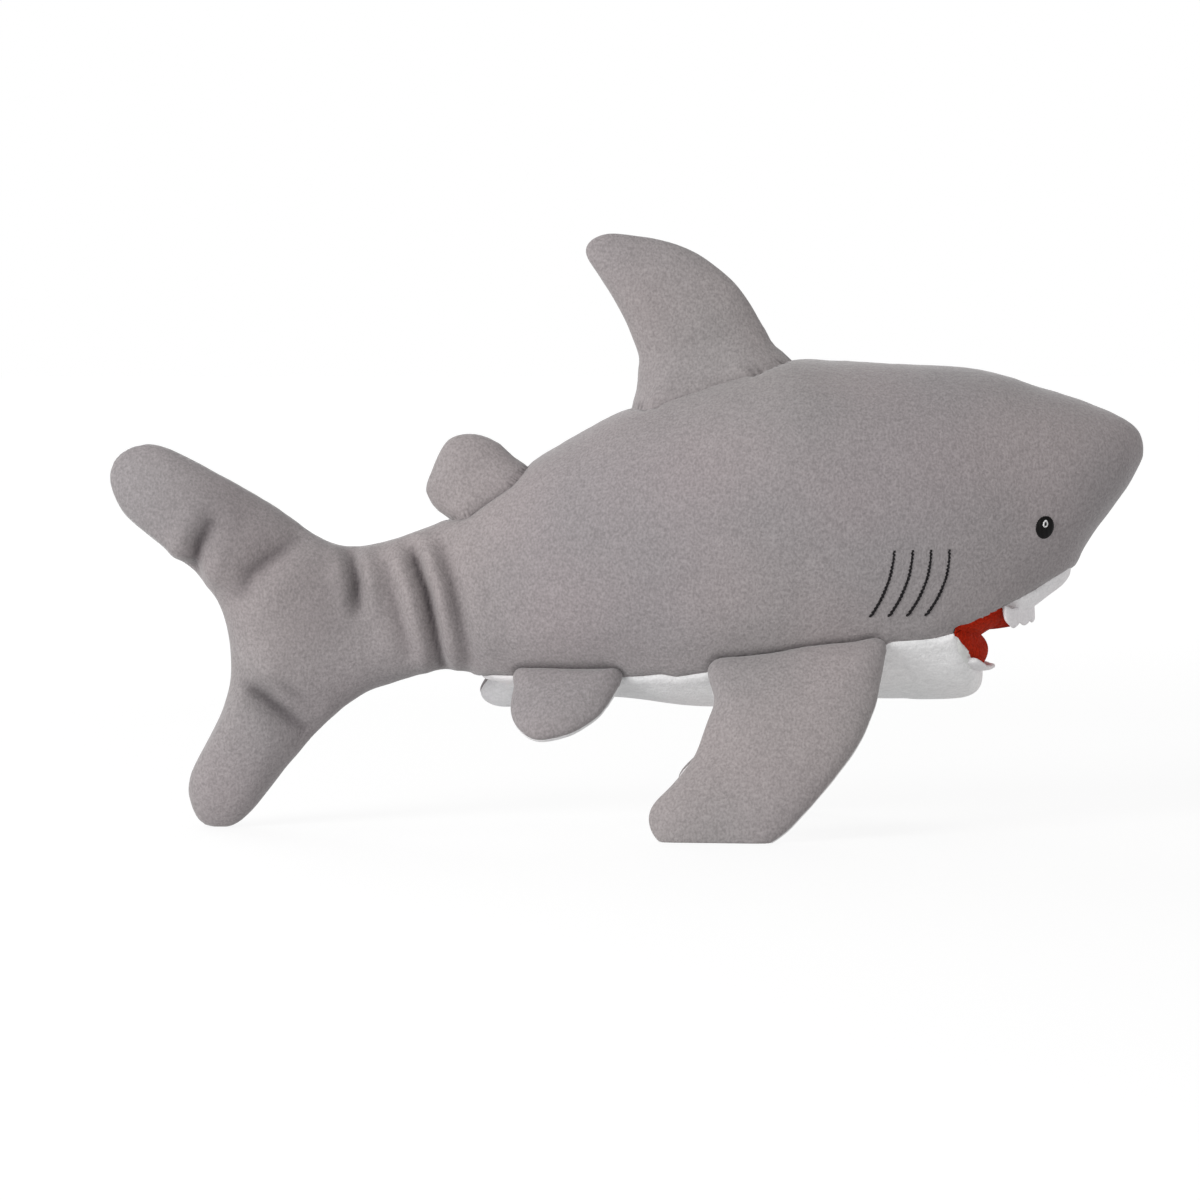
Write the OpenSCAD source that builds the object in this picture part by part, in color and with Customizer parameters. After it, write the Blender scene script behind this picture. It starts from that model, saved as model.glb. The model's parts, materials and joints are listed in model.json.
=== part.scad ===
/* [Fabric] */
// Thickness of the short-pile fabric that every panel is cut from
fabric_t = 1.2; // [0.8:0.1:1.6]
// Gap between a panel's back and the fibre filling behind it
filling_gap = 0.2; // [0.1:0.05:0.3]
// Thickness of a sewing thread where it holds a seam inside the body
thread_t = 0.3; // [0.2:0.05:0.5]

/* [Body] */
// Squareness of the body's cross-section, where 2 is an ellipse
body_roundness = 2.2; // [1.8:0.1:2.6]
// Where the body ends and the tail begins
body_rear_x = -37; // [-37.5:0.5:-36]
// Where the side panels close over the nose
nose_x = 103.2; // [102:0.2:105]
// Where the belly panel comes to its rear point
belly_rear_x = -31; // [-33:1:-28]

/* [Mouth] */
// Place of the mouth's corners along the body
mouth_corner_x = 64.5; // [63:0.5:66]
// Height of the mouth's corners
mouth_corner_z = 40; // [39:0.5:41]
// Front of the red lining on the roof of the mouth
palate_front_x = 80.5; // [78:0.5:82]
// Slope of the roof of the mouth, up towards the front
palate_slope = 0.24; // [0.2:0.02:0.28]
// Front of the lower lip
lip_x = 70.8; // [69:0.2:72]
// Height of the lower lip's front
lip_z = 31; // [30:0.5:33]
// How far the lower lining swells out of the jaw
lining_swell = 2.4; // [1:0.2:2.6]
// Depth of an upper tooth below the roof of the mouth
tooth_depth = 3.9; // [2:0.1:5]
// Thickness of the felt that the teeth are cut from
felt_t = 0.8; // [0.5:0.1:1.2]

/* [Eyes and gills] */
// Place of the eye along the head
eye_x = 81.9; // [78:0.1:86]
// Height of the eye
eye_z = 60.5; // [56:0.5:66]
// Width of the embroidered eye
eye_w = 3.7; // [3:0.1:5]
// Height of the embroidered eye
eye_h = 4.7; // [3:0.1:6]
// Number of gill lines on each side
gill_count = 4; // [2:1:5]
// Width of a gill line's satin thread
gill_w = 0.55; // [0.4:0.05:0.8]

/* [Fins] */
// Half the thickness of the stuffed dorsal fin
dorsal_half_t = 5.6; // [4:0.2:6]
// Half the thickness of the stuffed second dorsal fin
second_dorsal_half_t = 4.2; // [3:0.2:5]
// Half the thickness of a stuffed pectoral fin
pectoral_half_t = 4.8; // [3.4:0.2:5.4]
// Half the thickness of a stuffed pelvic fin
pelvic_half_t = 3.6; // [2.8:0.2:4]
// Half the thickness of the stuffed tail at its middle
tail_half_t = 8.6; // [7:0.2:9]
// Lean of a pectoral fin away from upright
pectoral_splay = 25; // [20:1:30]
// How far the left pectoral fin sweeps back for each unit that it stands out
pectoral_sweep_left = -0.2; // [-0.3:0.05:0]
// Lean of the right pelvic fin away from upright
pelvic_splay_right = 35; // [30:1:40]
// Lean of the left pelvic fin, which was sewn on flatter
pelvic_splay_left = 50; // [42:1:55]
// How far the left pelvic fin sweeps back for each unit that it stands out
pelvic_sweep_left = 0.35; // [0:0.05:0.4]
// Gap between a fin's stuffed rim and the line that it hinges on
root_gap = 0.9; // [0.7:0.1:1.2]

/* [Hidden] */

// Colours
grey = [0.56, 0.53, 0.54];
white = [0.88, 0.87, 0.87];
red = [0.52, 0.09, 0.05];
black = [0.05, 0.04, 0.04];
fibre = [0.95, 0.95, 0.93];
dark_thread = [0.18, 0.17, 0.18];

// The body's outline from the side: [x, height] along the back and along the belly
back_line = [[-46, 58], [-37, 61.6], [-30, 65.8], [-20, 72.6], [-10, 78.6], [0, 84.3], [8, 87],
    [17, 89.8], [25, 92.2], [32, 94], [40, 93.3], [50, 92.9], [60, 92.2], [72, 91.3], [80, 88.9],
    [88, 86.4], [96, 83.4], [100, 81.6], [102.4, 79.2], [103.2, 76.8]];
belly_line = [[-46, 30], [-37, 31.9], [-30, 29.9], [-20, 27.3], [-10, 26.2], [0, 25.8], [10, 24.4],
    [20, 24], [34, 24.8], [50, 25.6], [60, 25.6], [66, 27], [72, 32], [78, 39], [84.2, 46.8],
    [88.4, 51], [92.3, 58], [96.3, 63.4], [100.3, 68.6], [102.3, 72.4], [103.2, 74.6]];
// Half the body's width from above: [x, half-width]
width_line = [[-46, 8.5], [-37, 10], [-30, 12.6], [-20, 16.2], [-10, 19.4], [0, 22.2], [10, 24.4],
    [20, 25.8], [30, 26.5], [40, 26.4], [50, 25.6], [60, 24.2], [66, 22.8], [74, 20.4], [84, 16.6],
    [94, 11.6], [100, 7.4], [102.4, 3.8], [103.2, 1.6]];
// Height of the seam between grey and white: [x, height]
seam_line = [[-46, 30], [-31, 30.5], [-27, 31.2], [-13, 31], [0, 31.3], [8, 32.2], [17, 33.8],
    [26, 35.2], [36, 36.6], [51, 38.6], [64.5, 40], [74, 44.8], [81, 48.3], [87, 51.9], [90, 53]];
// Lowest point of the head above the mouth: [x, height], a wall behind the jaw and then the roof
mouth_floor = [[58, 20], [58.5, 25.9], [mouth_corner_x, mouth_corner_z],
    [palate_front_x, mouth_corner_z + palate_slope * (palate_front_x - mouth_corner_x)],
    [palate_front_x + 3, 0]];
// Stations along the body, closer together over the nose
body_x = [body_rear_x, -34, belly_rear_x, for (x = [-27 : 5 : 58]) x, 59.5, 61, 62.5, mouth_corner_x,
    68, 71, 74, 77.5, palate_front_x, 84, 87.5, 90.5, 93.5, 96.5, 99, 101, 102.4, nose_x];
belly_x = [for (x = body_x) if (x >= belly_rear_x && x <= 58) x];
snout_rear_x = 77.5;
snout_x = [for (x = body_x) if (x >= snout_rear_x && x < 90) x];
nose_round_x = 90;

// The mouth, jaw and teeth
jaw_rear_x = 62.2;
palate_rear_x = 67.5;
jaw_steps = 14;
chin_rows = 6;
lining_rows = 5;
chin_fullness = 0.9;
upper_tooth_count = 9;
lower_tooth_count = 7;

// Fin outlines: [along the root, away from the root]
dorsal_outline = [[0.6, 0], [3, 3], [4.7, 7], [5, 10.5], [4.7, 15.5], [3.9, 19.7], [2.9, 23.7],
    [1.3, 28.6], [1, 31.7], [2.4, 33.2], [4.8, 33.7], [7.7, 33.2], [14.5, 30], [19.6, 26.4],
    [23.9, 22.1], [27.2, 17.1], [29.3, 11.2], [30.6, 5.6], [32.6, 0], [16.5, 0]];
second_dorsal_outline = [[0, 0], [-0.9, 3.7], [-0.2, 6.6], [2.6, 9], [5.6, 11.2], [9, 12.8],
    [12.2, 12], [14.6, 10.1], [16.8, 6.8], [19.3, 0], [10, 0]];
pectoral_outline = [[0.2, 0], [0.5, 6.5], [-1.7, 11.7], [-5.1, 18.4], [-10.3, 24], [-14.2, 27.1],
    [-15.3, 30.1], [-14.2, 34], [-10.7, 37.8], [-3.1, 39.8], [3.2, 39.8], [9.4, 37], [17.2, 30.5],
    [24.7, 22.9], [29.7, 16.3], [32.4, 10.1], [34, 4.6], [34.6, 0], [17, 0]];
pelvic_outline = [[0, 0], [-0.3, 3.6], [-0.4, 7.4], [0.6, 10.8], [3.6, 14.1], [7.1, 14.9],
    [12.2, 13.4], [16.2, 10.3], [18.7, 6.4], [20.6, 0], [10, 0]];
tail_outline = [[-38.2, 35], [-40, 31.6], [-44.5, 30.9], [-52.8, 27.2], [-61.1, 20.9],
    [-68.3, 13.3], [-73.7, 6.1], [-78.2, 1], [-82.6, -0.8], [-86, 1.4], [-87.6, 6], [-87, 10.5],
    [-83.1, 17.7], [-79.7, 25], [-78.6, 32], [-79.4, 39.8], [-81.8, 46.4], [-86.2, 52],
    [-94, 58.2], [-100, 62.8], [-103.2, 69.4], [-101.8, 73.8], [-97.4, 76.2], [-92.7, 75.6],
    [-83.3, 71], [-74.7, 66], [-64.8, 59.4], [-58.8, 55.9], [-52.8, 55.4], [-44.8, 57.5],
    [-40, 58.4], [-38.2, 55]];
dorsal_centre = [14.5, 13];
second_dorsal_centre = [8.5, 6];
pectoral_centre = [10, 19];
pelvic_centre = [8.5, 7];
tail_centre = [-67.6, 41.4];
// Roots of the fins, rear end first
dorsal_root = [[0, 0, 84.6], [31.6, 0, 94.5]];
second_dorsal_root = [[-36.8, 0, 62.2], [-20.4, 0, 72.8]];
// Ends along the belly seam, and the step off the seam to the fins' hinge line
pectoral_root_x = [16.6, 51.2];
pelvic_root_right_x = [-21.8, -2];
pelvic_root_left_x = [-24.3, -4.5];
hinge_step = [0, -0.9, -0.5];
// Shares of the outline at which a stuffed fin's rings lie, rim to middle
pillow_rings = [1, 0.95, 0.84, 0.66, 0.36];
outline_steps = 2;

// --- curves ---------------------------------------------------------------
function piece_of(p, x, i = 0) = i < len(p) - 2 && x > p[i + 1][0] ? piece_of(p, x, i + 1) : i;
function rise(p, i) = let (a = max(i - 1, 0), b = min(i + 1, len(p) - 1))
    (p[b][1] - p[a][1]) / (p[b][0] - p[a][0]);
// Height of the smooth curve through the points p at x
function curve(p, x) = let (i = piece_of(p, x), w = p[i + 1][0] - p[i][0], t = (x - p[i][0]) / w)
    p[i][1] * (2 * t ^ 3 - 3 * t ^ 2 + 1) + rise(p, i) * w * (t ^ 3 - 2 * t ^ 2 + t)
    + p[i + 1][1] * (3 * t ^ 2 - 2 * t ^ 3) + rise(p, i + 1) * w * (t ^ 3 - t ^ 2);
// A closed outline made smooth, with the root's straight edge kept at zero
function smooth(p, n) = [for (i = [0 : len(p) - 1], k = [0 : n - 1])
    let (m = len(p), a = p[(i + m - 1) % m], b = p[i], c = p[(i + 1) % m], d = p[(i + 2) % m], t = k / n)
    (2 * b + (c - a) * t + (2 * a - 5 * b + 4 * c - d) * t ^ 2
        + (3 * b - a - 3 * c + d) * t ^ 3) / 2];
function unit(v) = v / norm(v);

// --- closed meshes --------------------------------------------------------
// Triangles between rows of points; flip turns them over
function rows_faces(m, n, start, flip, closed = false) = [for (i = [0 : m - 2],
    j = [0 : closed ? n - 1 : n - 2])
    let (a = start + i * n + j, b = start + i * n + (j + 1) % n, c = a + n, d = b + n)
    each flip ? [[a, b, c], [b, d, c]] : [[a, c, b], [b, c, d]]];
// A sheet of fabric between an outer and an inner grid of points
module sheet(outer, inner) {
    m = len(outer);
    n = len(outer[0]);
    half = m * n;
    edge = concat([for (j = [0 : n - 2]) j], [for (i = [0 : m - 2]) i * n + n - 1],
        [for (j = [n - 1 : -1 : 1]) (m - 1) * n + j], [for (i = [m - 1 : -1 : 1]) i * n]);
    sides = [for (k = [0 : len(edge) - 1]) let (a = edge[k], b = edge[(k + 1) % len(edge)])
        each [[a, b, a + half], [b, b + half, a + half]]];
    points = concat([for (row = outer) each row], [for (row = inner) each row]);
    polyhedron(points, concat(rows_faces(m, n, 0, false), rows_faces(m, n, half, true), sides));
}
// A solid through closed rings of points, with a fan at each end
module loft(rings) {
    m = len(rings);
    n = len(rings[0]);
    first = m * n;
    points = concat([for (r = rings) each r], [middle(rings[0]), middle(rings[m - 1])]);
    polyhedron(points, concat(rows_faces(m, n, 0, false, true),
        [for (j = [0 : n - 1]) [first, j, (j + 1) % n]],
        [for (j = [0 : n - 1]) [first + 1, (m - 1) * n + (j + 1) % n, (m - 1) * n + j]]));
}
function middle(points) = [for (k = [0 : 2]) [for (p = points) p[k]] * [for (p = points) 1] / len(points)];

// --- the body's skin ------------------------------------------------------
function floor_at(x) = x < mouth_floor[0][0] ? 0 : lookup(x, mouth_floor);
function low_at(x) = curve(belly_line, x);
function mid_at(x) = (curve(back_line, x) + low_at(x)) / 2;
function tall_at(x) = (curve(back_line, x) - low_at(x)) / 2;
function back_off(x, inset) = inset * max(0, min(1, (x - nose_round_x) / (nose_x - nose_round_x))) ^ 2;
// The body's section at x at angle a, measured from the back down the right side, sunk by inset
function section(x, a, inset = 0) = let (w = max(curve(width_line, x) - inset, 0.25),
    h = max(tall_at(x) - inset, 0.25), e = 2 / body_roundness)
    [x - back_off(x, inset), -w * sign(sin(a)) * abs(sin(a)) ^ e,
        mid_at(x) + h * sign(cos(a)) * abs(cos(a)) ^ e];
// The same point with the mouth cut out of the head
function skin(x, a, inset = 0) = let (p = section(x, a, inset))
    [p[0], p[1], max(p[2], floor_at(x) + inset)];
// The angle of the point of the skin at height z, and the angle of the grey and white seam
function angle_at(x, z) = let (q = max(-1, min(1, (z - mid_at(x)) / tall_at(x))))
    acos(sign(q) * abs(q) ^ (body_roundness / 2));
function seam_angle(x) = x < belly_rear_x || x > snout_x[len(snout_x) - 1] ? 180
    : angle_at(x, max(curve(seam_line, x), floor_at(x) + 0.01));
function side_rows(inset, steps = 10) = [for (x = body_x) [for (k = [0 : steps])
    skin(x, seam_angle(x) * k / steps, inset)]];
function under_rows(xs, inset, steps = 10) = [for (x = xs) [for (k = [0 : steps])
    let (a = seam_angle(x)) skin(x, a + (360 - 2 * a) * k / steps, inset)]];
// A thread laid along the skin behind the seam at angle(x), and a patch of satin stitch on it
module inside_thread(xs, angles, colour) {
    depth = fabric_t + filling_gap / 2;
    color(colour) sheet([for (i = [0 : len(xs) - 1]) [for (s = [-1, 1]) skin(xs[i], angles[i] + s, depth)]],
        [for (i = [0 : len(xs) - 1]) [for (s = [-1, 1]) skin(xs[i], angles[i] + s, depth + thread_t)]]);
}
module left() {
    mirror([0, 1, 0]) children();
}
module side_panel_right() {
    color(grey) sheet(side_rows(0), side_rows(fabric_t));
}
module side_panel_left() {
    color(grey) left() sheet(side_rows(0), side_rows(fabric_t));
}
module belly_panel() {
    color(white) sheet(under_rows(belly_x, 0), under_rows(belly_x, fabric_t));
}
// The filling keeps clear of the threads as well as the panels
filling_depth = fabric_t + thread_t + filling_gap;
module body_filling() {
    color(fibre) loft([for (x = body_x) [for (k = [0 : 23]) skin(x, k * 15, filling_depth)]]);
}
module back_seam_thread() {
    xs = [for (x = body_x) if (x < 97) x];
    inside_thread(xs, [for (x = xs) 0], grey);
}
module belly_seam_thread(xs) {
    inside_thread(xs, [for (x = xs) seam_angle(x)], white);
}
seam_x = [for (x = belly_x) if (x > belly_rear_x + 4) x];
closing_x = [for (x = seam_x) if (x >= -18 && x <= 14) x];
module belly_seam_thread_right() {
    belly_seam_thread(seam_x);
}
module belly_seam_thread_left() {
    left() belly_seam_thread([for (x = seam_x) if (x >= 18) x]);
}
module closing_stitch() {
    left() belly_seam_thread(closing_x);
}

// --- the mouth ------------------------------------------------------------
corner_half_y = -skin_at(mouth_corner_x, mouth_corner_z)[1] - 0.2;
// The rim of the roof's lining from the right corner round the front to the left one
function rim(a) = [mouth_corner_x + (palate_front_x - mouth_corner_x) * cos(a), corner_half_y * sin(a)];
palate_outline = [for (i = [0 : 24]) rim(-90 + i * 7.5)];
function on_roof(p, drop) = [p[0], p[1], mouth_corner_z + palate_slope * (p[0] - mouth_corner_x) - drop];
module palate_lining() {
    tilt = atan(palate_slope);
    color(red) translate([mouth_corner_x, 0, mouth_corner_z]) rotate([0, -tilt, 0])
        translate([-mouth_corner_x, 0, -fabric_t])
            linear_extrude(fabric_t - 0.05)
                intersection() {
                    polygon(palate_outline);
                    translate([palate_rear_x, -50]) square([snout_rear_x - 0.2 - palate_rear_x, 100]);
                }
}
module snout_underside() {
    color(white) sheet(under_rows(snout_x, 0, 14), under_rows(snout_x, fabric_t, 14));
}
// A strip of teeth along a curve: root and tip lines, each with a front and a back edge
module tooth_strip(count, root, tip, back) {
    steps = count * 4;
    points = [for (i = [0 : steps]) let (s = i / steps, bite = 0.5 - 0.5 * cos(s * count * 360),
        r = root(s), t = r + tip(s) * (0.55 + 0.45 * bite)) [r, t, t + back(s), r + back(s)]];
    color(white) loft(points);
}
module upper_teeth() {
    tooth_strip(upper_tooth_count, function (s) on_roof(rim(-58 + 116 * s), fabric_t + 0.3),
        function (s) [0, 0, -tooth_depth],
        function (s) -felt_t * unit([cos(-58 + 116 * s), sin(-58 + 116 * s), 0]));
}
// The jaw's rear edge, rim and hinge line at a, from -1 at the right corner to 1 at the left one
jaw_top_z = mouth_corner_z - 0.3;
function jaw_rear(a) = let (x = jaw_rear_x + (mouth_corner_x - jaw_rear_x) * a ^ 2)
    section(x, 180 + (180 - angle_at(mouth_corner_x, jaw_top_z)) * a);
function jaw_rim(a) = let (open = 1 - a ^ 2) [mouth_corner_x + (lip_x - mouth_corner_x) * open,
    jaw_rear(a)[1], jaw_top_z + (lip_z - jaw_top_z) * open];
function bow(p, c, q, t) = p * (1 - t) ^ 2 + c * 2 * t * (1 - t) + q * t ^ 2;
function jaw_hinge(a) = [mouth_corner_x, jaw_rear(a)[1], jaw_top_z];
lining_normal = unit([mouth_corner_z - lip_z, 0, lip_x - mouth_corner_x]);
function jaw_section(a) = let (p = jaw_rear(a), q = jaw_rim(a), h = jaw_hinge(a),
    c = [q[0] + chin_fullness * (1 - a ^ 2), p[1], p[2]])
    concat([for (k = [0 : chin_rows]) bow(p, c, q, k / chin_rows)],
        [for (k = [1 : lining_rows]) let (t = k / lining_rows)
            q + (h - q) * t * 0.96 + lining_normal * lining_swell * (1 - a ^ 2) * sin(180 * t)]);
function sunk(ring, inset) = let (m = middle(ring)) [for (p = ring)
    p + (m - p) * min(0.8, inset / max(norm(m - p), 0.01))];
jaw_a = [for (i = [0 : jaw_steps]) 0.94 - 1.88 * i / jaw_steps];
function jaw_rows(from, to, inset) = [for (a = jaw_a) let (r = sunk(jaw_section(a), inset))
    [for (k = [from : to]) r[k]]];
module chin_panel() {
    color(white) sheet(jaw_rows(0, chin_rows, 0), jaw_rows(0, chin_rows, fabric_t));
}
module jaw_lining() {
    last = chin_rows + lining_rows;
    color(red) sheet(jaw_rows(chin_rows, last, 0), jaw_rows(chin_rows, last, fabric_t));
}
module jaw_filling() {
    color(fibre) loft([for (a = jaw_a) sunk(jaw_section(a), fabric_t + filling_gap)]);
}
module lower_teeth() {
    tooth_strip(lower_tooth_count, function (s) jaw_rim(-0.62 + 1.24 * s) + [0.35, 0, -0.1],
        function (s) [2.9, 0, 0.5], function (s) [0.1, 0, -felt_t]);
}

// --- eyes and gills -------------------------------------------------------
function skin_at(x, z) = skin(x, angle_at(x, z));
function facing(x, z) = unit(cross(skin_at(x + 0.5, z) - skin_at(x - 0.5, z),
    skin_at(x, z + 0.5) - skin_at(x, z - 0.5)));
// Places a flat shape on the skin at x, z, standing off it by lift and facing outwards
module on_skin(x, z, lift) {
    n = facing(x, z);
    translate(skin_at(x, z) + n * lift)
        rotate([0, acos(n[2]), atan2(n[1], n[0])]) rotate([0, 0, 90]) children();
}
module oval(w, h, sides) {
    polygon([for (i = [0 : sides - 1]) [w / 2 * cos(i * 360 / sides), h / 2 * sin(i * 360 / sides)]]);
}
module eye() {
    color(black) on_skin(eye_x, eye_z, 0.15) {
        linear_extrude(0.35) oval(eye_w, eye_h, 28);
        translate([0, 0, 0.35]) linear_extrude(0.2) oval(eye_w - 0.7, eye_h - 0.7, 28);
    }
}
module eye_glint() {
    color(white) on_skin(eye_x, eye_z, 0.72)
        translate([0, 1.1, 0]) linear_extrude(0.15) oval(1.1, 1.3, 6);
}
// Rear gill line from top to bottom; the others follow at an even pace
gill_points = [[51.9, 56.4], [51.4, 52.2], [50, 48.2], [47.5, 43.5]];
gill_pitch = [[3.6, 0.05], [3.7, -0.2], [3.6, -0.1], [3.65, 0.05]];
module gill_stitches() {
    for (g = [0 : gill_count - 1])
        color(dark_thread) sheet(gill_rows(g, 0.45), gill_rows(g, 0.04));
}
function gill_rows(g, lift) = [for (k = [0 : len(gill_points) - 1])
    let (p = gill_points[k] + g * gill_pitch[k], n = facing(p[0], p[1]) * lift)
    [skin_at(p[0] + gill_w / 2, p[1]) + n, skin_at(p[0] - gill_w / 2, p[1]) + n]];
module eye_right() {
    eye();
}
module eye_left() {
    left() eye();
}
module eye_glint_right() {
    eye_glint();
}
module eye_glint_left() {
    left() eye_glint();
}
module gill_stitches_right() {
    gill_stitches();
}
module gill_stitches_left() {
    left() gill_stitches();
}

// --- stuffed fins and tail ------------------------------------------------
// A fin's frame: its root's rear end, then unit steps along the root, away from it and through it
function fin_frame(root, splay) = let (u = unit(root[1] - root[0]), d = [0, -sin(splay), -cos(splay)],
    v = unit(d - (d * u) * u)) [root[0], u, v, cross(u, v)];
function upright_frame(root) = let (u = unit(root[1] - root[0])) [root[0], u, [-u[2], 0, u[0]], [0, -1, 0]];
function placed(f, p, sweep, lowest) = let (along = p[0] - sweep * p[1],
    q = f[0] + f[1] * along + f[2] * p[1] + f[3] * p[2]) [q[0], q[1], max(q[2], lowest)];
function drawn_in(p, c, by) = c + (p - c) * (1 - by / norm(p - c));
// Rings of one stuffed face, from the rim at the seam to the middle; side is 1 or -1
function face_rings(outline, c, half_t, inset, side) = [for (s = pillow_rings) [for (p = outline)
    let (q = c + (drawn_in(p, c, inset) - c) * s) [q[0], q[1], side * (half_t - inset) * sqrt(1 - s ^ 2)]]];
function lift_off(outline, gap) = [for (p = outline) [p[0], max(p[1], gap)]];
// One fabric face of a stuffed piece: an outer and an inner dome that meet at the rim
module face(outline, c, half_t, side, frame, sweep = 0) {
    n = len(outline);
    m = len(pillow_rings);
    outer = [for (r = face_rings(outline, c, half_t, 0, side)) each r];
    hidden = [for (r = face_rings(outline, c, half_t, fabric_t, side)) each r];
    points = concat([for (p = outer) placed(frame, p, sweep, 0)],
        [for (p = hidden) placed(frame, p, sweep, fabric_t)],
        [placed(frame, [c[0], c[1], side * half_t], sweep, 0),
            placed(frame, [c[0], c[1], side * (half_t - fabric_t)], sweep, 0)]);
    inner = m * n;
    top = 2 * m * n;
    faces = concat(rows_faces(m, n, 0, false, true), rows_faces(m, n, inner, true, true),
        [for (j = [0 : n - 1]) let (k = (j + 1) % n) each [[(m - 1) * n + j, top, (m - 1) * n + k],
            [inner + (m - 1) * n + j, inner + (m - 1) * n + k, top + 1],
            [j, k, inner + j], [k, inner + k, inner + j]]]);
    polyhedron(points, side > 0 ? [for (f = faces) [f[0], f[2], f[1]]] : faces);
}
module fin_filling(outline, c, half_t, frame, sweep = 0) {
    n = len(outline);
    m = len(pillow_rings);
    deep = fabric_t + filling_gap;
    upper = face_rings(outline, c, half_t, deep, 1);
    lower = face_rings(outline, c, half_t, deep, -1);
    rings = concat([for (i = [m - 1 : -1 : 1]) lower[i]], upper);
    rows = len(rings);
    flat = concat([for (r = rings) each r], [[c[0], c[1], deep - half_t], [c[0], c[1], half_t - deep]]);
    points = [for (p = flat) placed(frame, p, sweep, deep)];
    faces = concat(rows_faces(rows, n, 0, true, true),
        [for (j = [0 : n - 1]) let (k = (j + 1) % n) each [[rows * n, k, j],
            [rows * n + 1, (rows - 1) * n + j, (rows - 1) * n + k]]]);
    polyhedron(points, faces);
}
dorsal_shape = lift_off(smooth(dorsal_outline, outline_steps), root_gap);
second_dorsal_shape = lift_off(smooth(second_dorsal_outline, outline_steps), root_gap);
pectoral_shape = lift_off(smooth(pectoral_outline, outline_steps), root_gap);
pelvic_shape = lift_off(smooth(pelvic_outline, outline_steps), root_gap);
tail_shape = smooth(tail_outline, outline_steps);
function hinge_ends(xs) = [for (x = xs) skin(x, seam_angle(x)) + hinge_step];
dorsal_frame = upright_frame(dorsal_root);
second_dorsal_frame = upright_frame(second_dorsal_root);
pectoral_frame = fin_frame(hinge_ends(pectoral_root_x), pectoral_splay);
pelvic_frame_right = fin_frame(hinge_ends(pelvic_root_right_x), pelvic_splay_right);
pelvic_frame_left = fin_frame(hinge_ends(pelvic_root_left_x), pelvic_splay_left);
tail_frame = [[0, 0, 0], [1, 0, 0], [0, 0, 1], [0, -1, 0]];

module tail_panel_right() {
    color(grey) face(tail_shape, tail_centre, tail_half_t, 1, tail_frame);
}
module tail_panel_left() {
    color(grey) face(tail_shape, tail_centre, tail_half_t, -1, tail_frame);
}
module tail_filling() {
    color(fibre) fin_filling(tail_shape, tail_centre, tail_half_t, tail_frame);
}
module dorsal_fin_right_face() {
    color(grey) face(dorsal_shape, dorsal_centre, dorsal_half_t, 1, dorsal_frame);
}
module dorsal_fin_left_face() {
    color(grey) face(dorsal_shape, dorsal_centre, dorsal_half_t, -1, dorsal_frame);
}
module dorsal_fin_filling() {
    color(fibre) fin_filling(dorsal_shape, dorsal_centre, dorsal_half_t, dorsal_frame);
}
module second_dorsal_face(side) {
    color(grey) face(second_dorsal_shape, second_dorsal_centre, second_dorsal_half_t, side,
        second_dorsal_frame);
}
module second_dorsal_right_face() {
    second_dorsal_face(1);
}
module second_dorsal_left_face() {
    second_dorsal_face(-1);
}
module second_dorsal_filling() {
    color(fibre) fin_filling(second_dorsal_shape, second_dorsal_centre, second_dorsal_half_t,
        second_dorsal_frame);
}
module pectoral_outer(sweep) {
    color(grey) face(pectoral_shape, pectoral_centre, pectoral_half_t, -1, pectoral_frame, sweep);
}
module pectoral_under(sweep) {
    color(white) face(pectoral_shape, pectoral_centre, pectoral_half_t, 1, pectoral_frame, sweep);
}
module pectoral_filling(sweep) {
    color(fibre) fin_filling(pectoral_shape, pectoral_centre, pectoral_half_t, pectoral_frame, sweep);
}
module pectoral_right_outer() {
    pectoral_outer(0);
}
module pectoral_right_under() {
    pectoral_under(0);
}
module pectoral_right_filling() {
    pectoral_filling(0);
}
module pectoral_left_outer() {
    left() pectoral_outer(pectoral_sweep_left);
}
module pectoral_left_under() {
    left() pectoral_under(pectoral_sweep_left);
}
module pectoral_left_filling() {
    left() pectoral_filling(pectoral_sweep_left);
}
module pelvic_outer(frame, sweep) {
    color(grey) face(pelvic_shape, pelvic_centre, pelvic_half_t, -1, frame, sweep);
}
module pelvic_under(frame, sweep) {
    color(white) face(pelvic_shape, pelvic_centre, pelvic_half_t, 1, frame, sweep);
}
module pelvic_filling(frame, sweep) {
    color(fibre) fin_filling(pelvic_shape, pelvic_centre, pelvic_half_t, frame, sweep);
}
module pelvic_right_outer() {
    pelvic_outer(pelvic_frame_right, 0);
}
module pelvic_right_under() {
    pelvic_under(pelvic_frame_right, 0);
}
module pelvic_right_filling() {
    pelvic_filling(pelvic_frame_right, 0);
}
module pelvic_left_outer() {
    left() pelvic_outer(pelvic_frame_left, pelvic_sweep_left);
}
module pelvic_left_under() {
    left() pelvic_under(pelvic_frame_left, pelvic_sweep_left);
}
module pelvic_left_filling() {
    left() pelvic_filling(pelvic_frame_left, pelvic_sweep_left);
}

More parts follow.
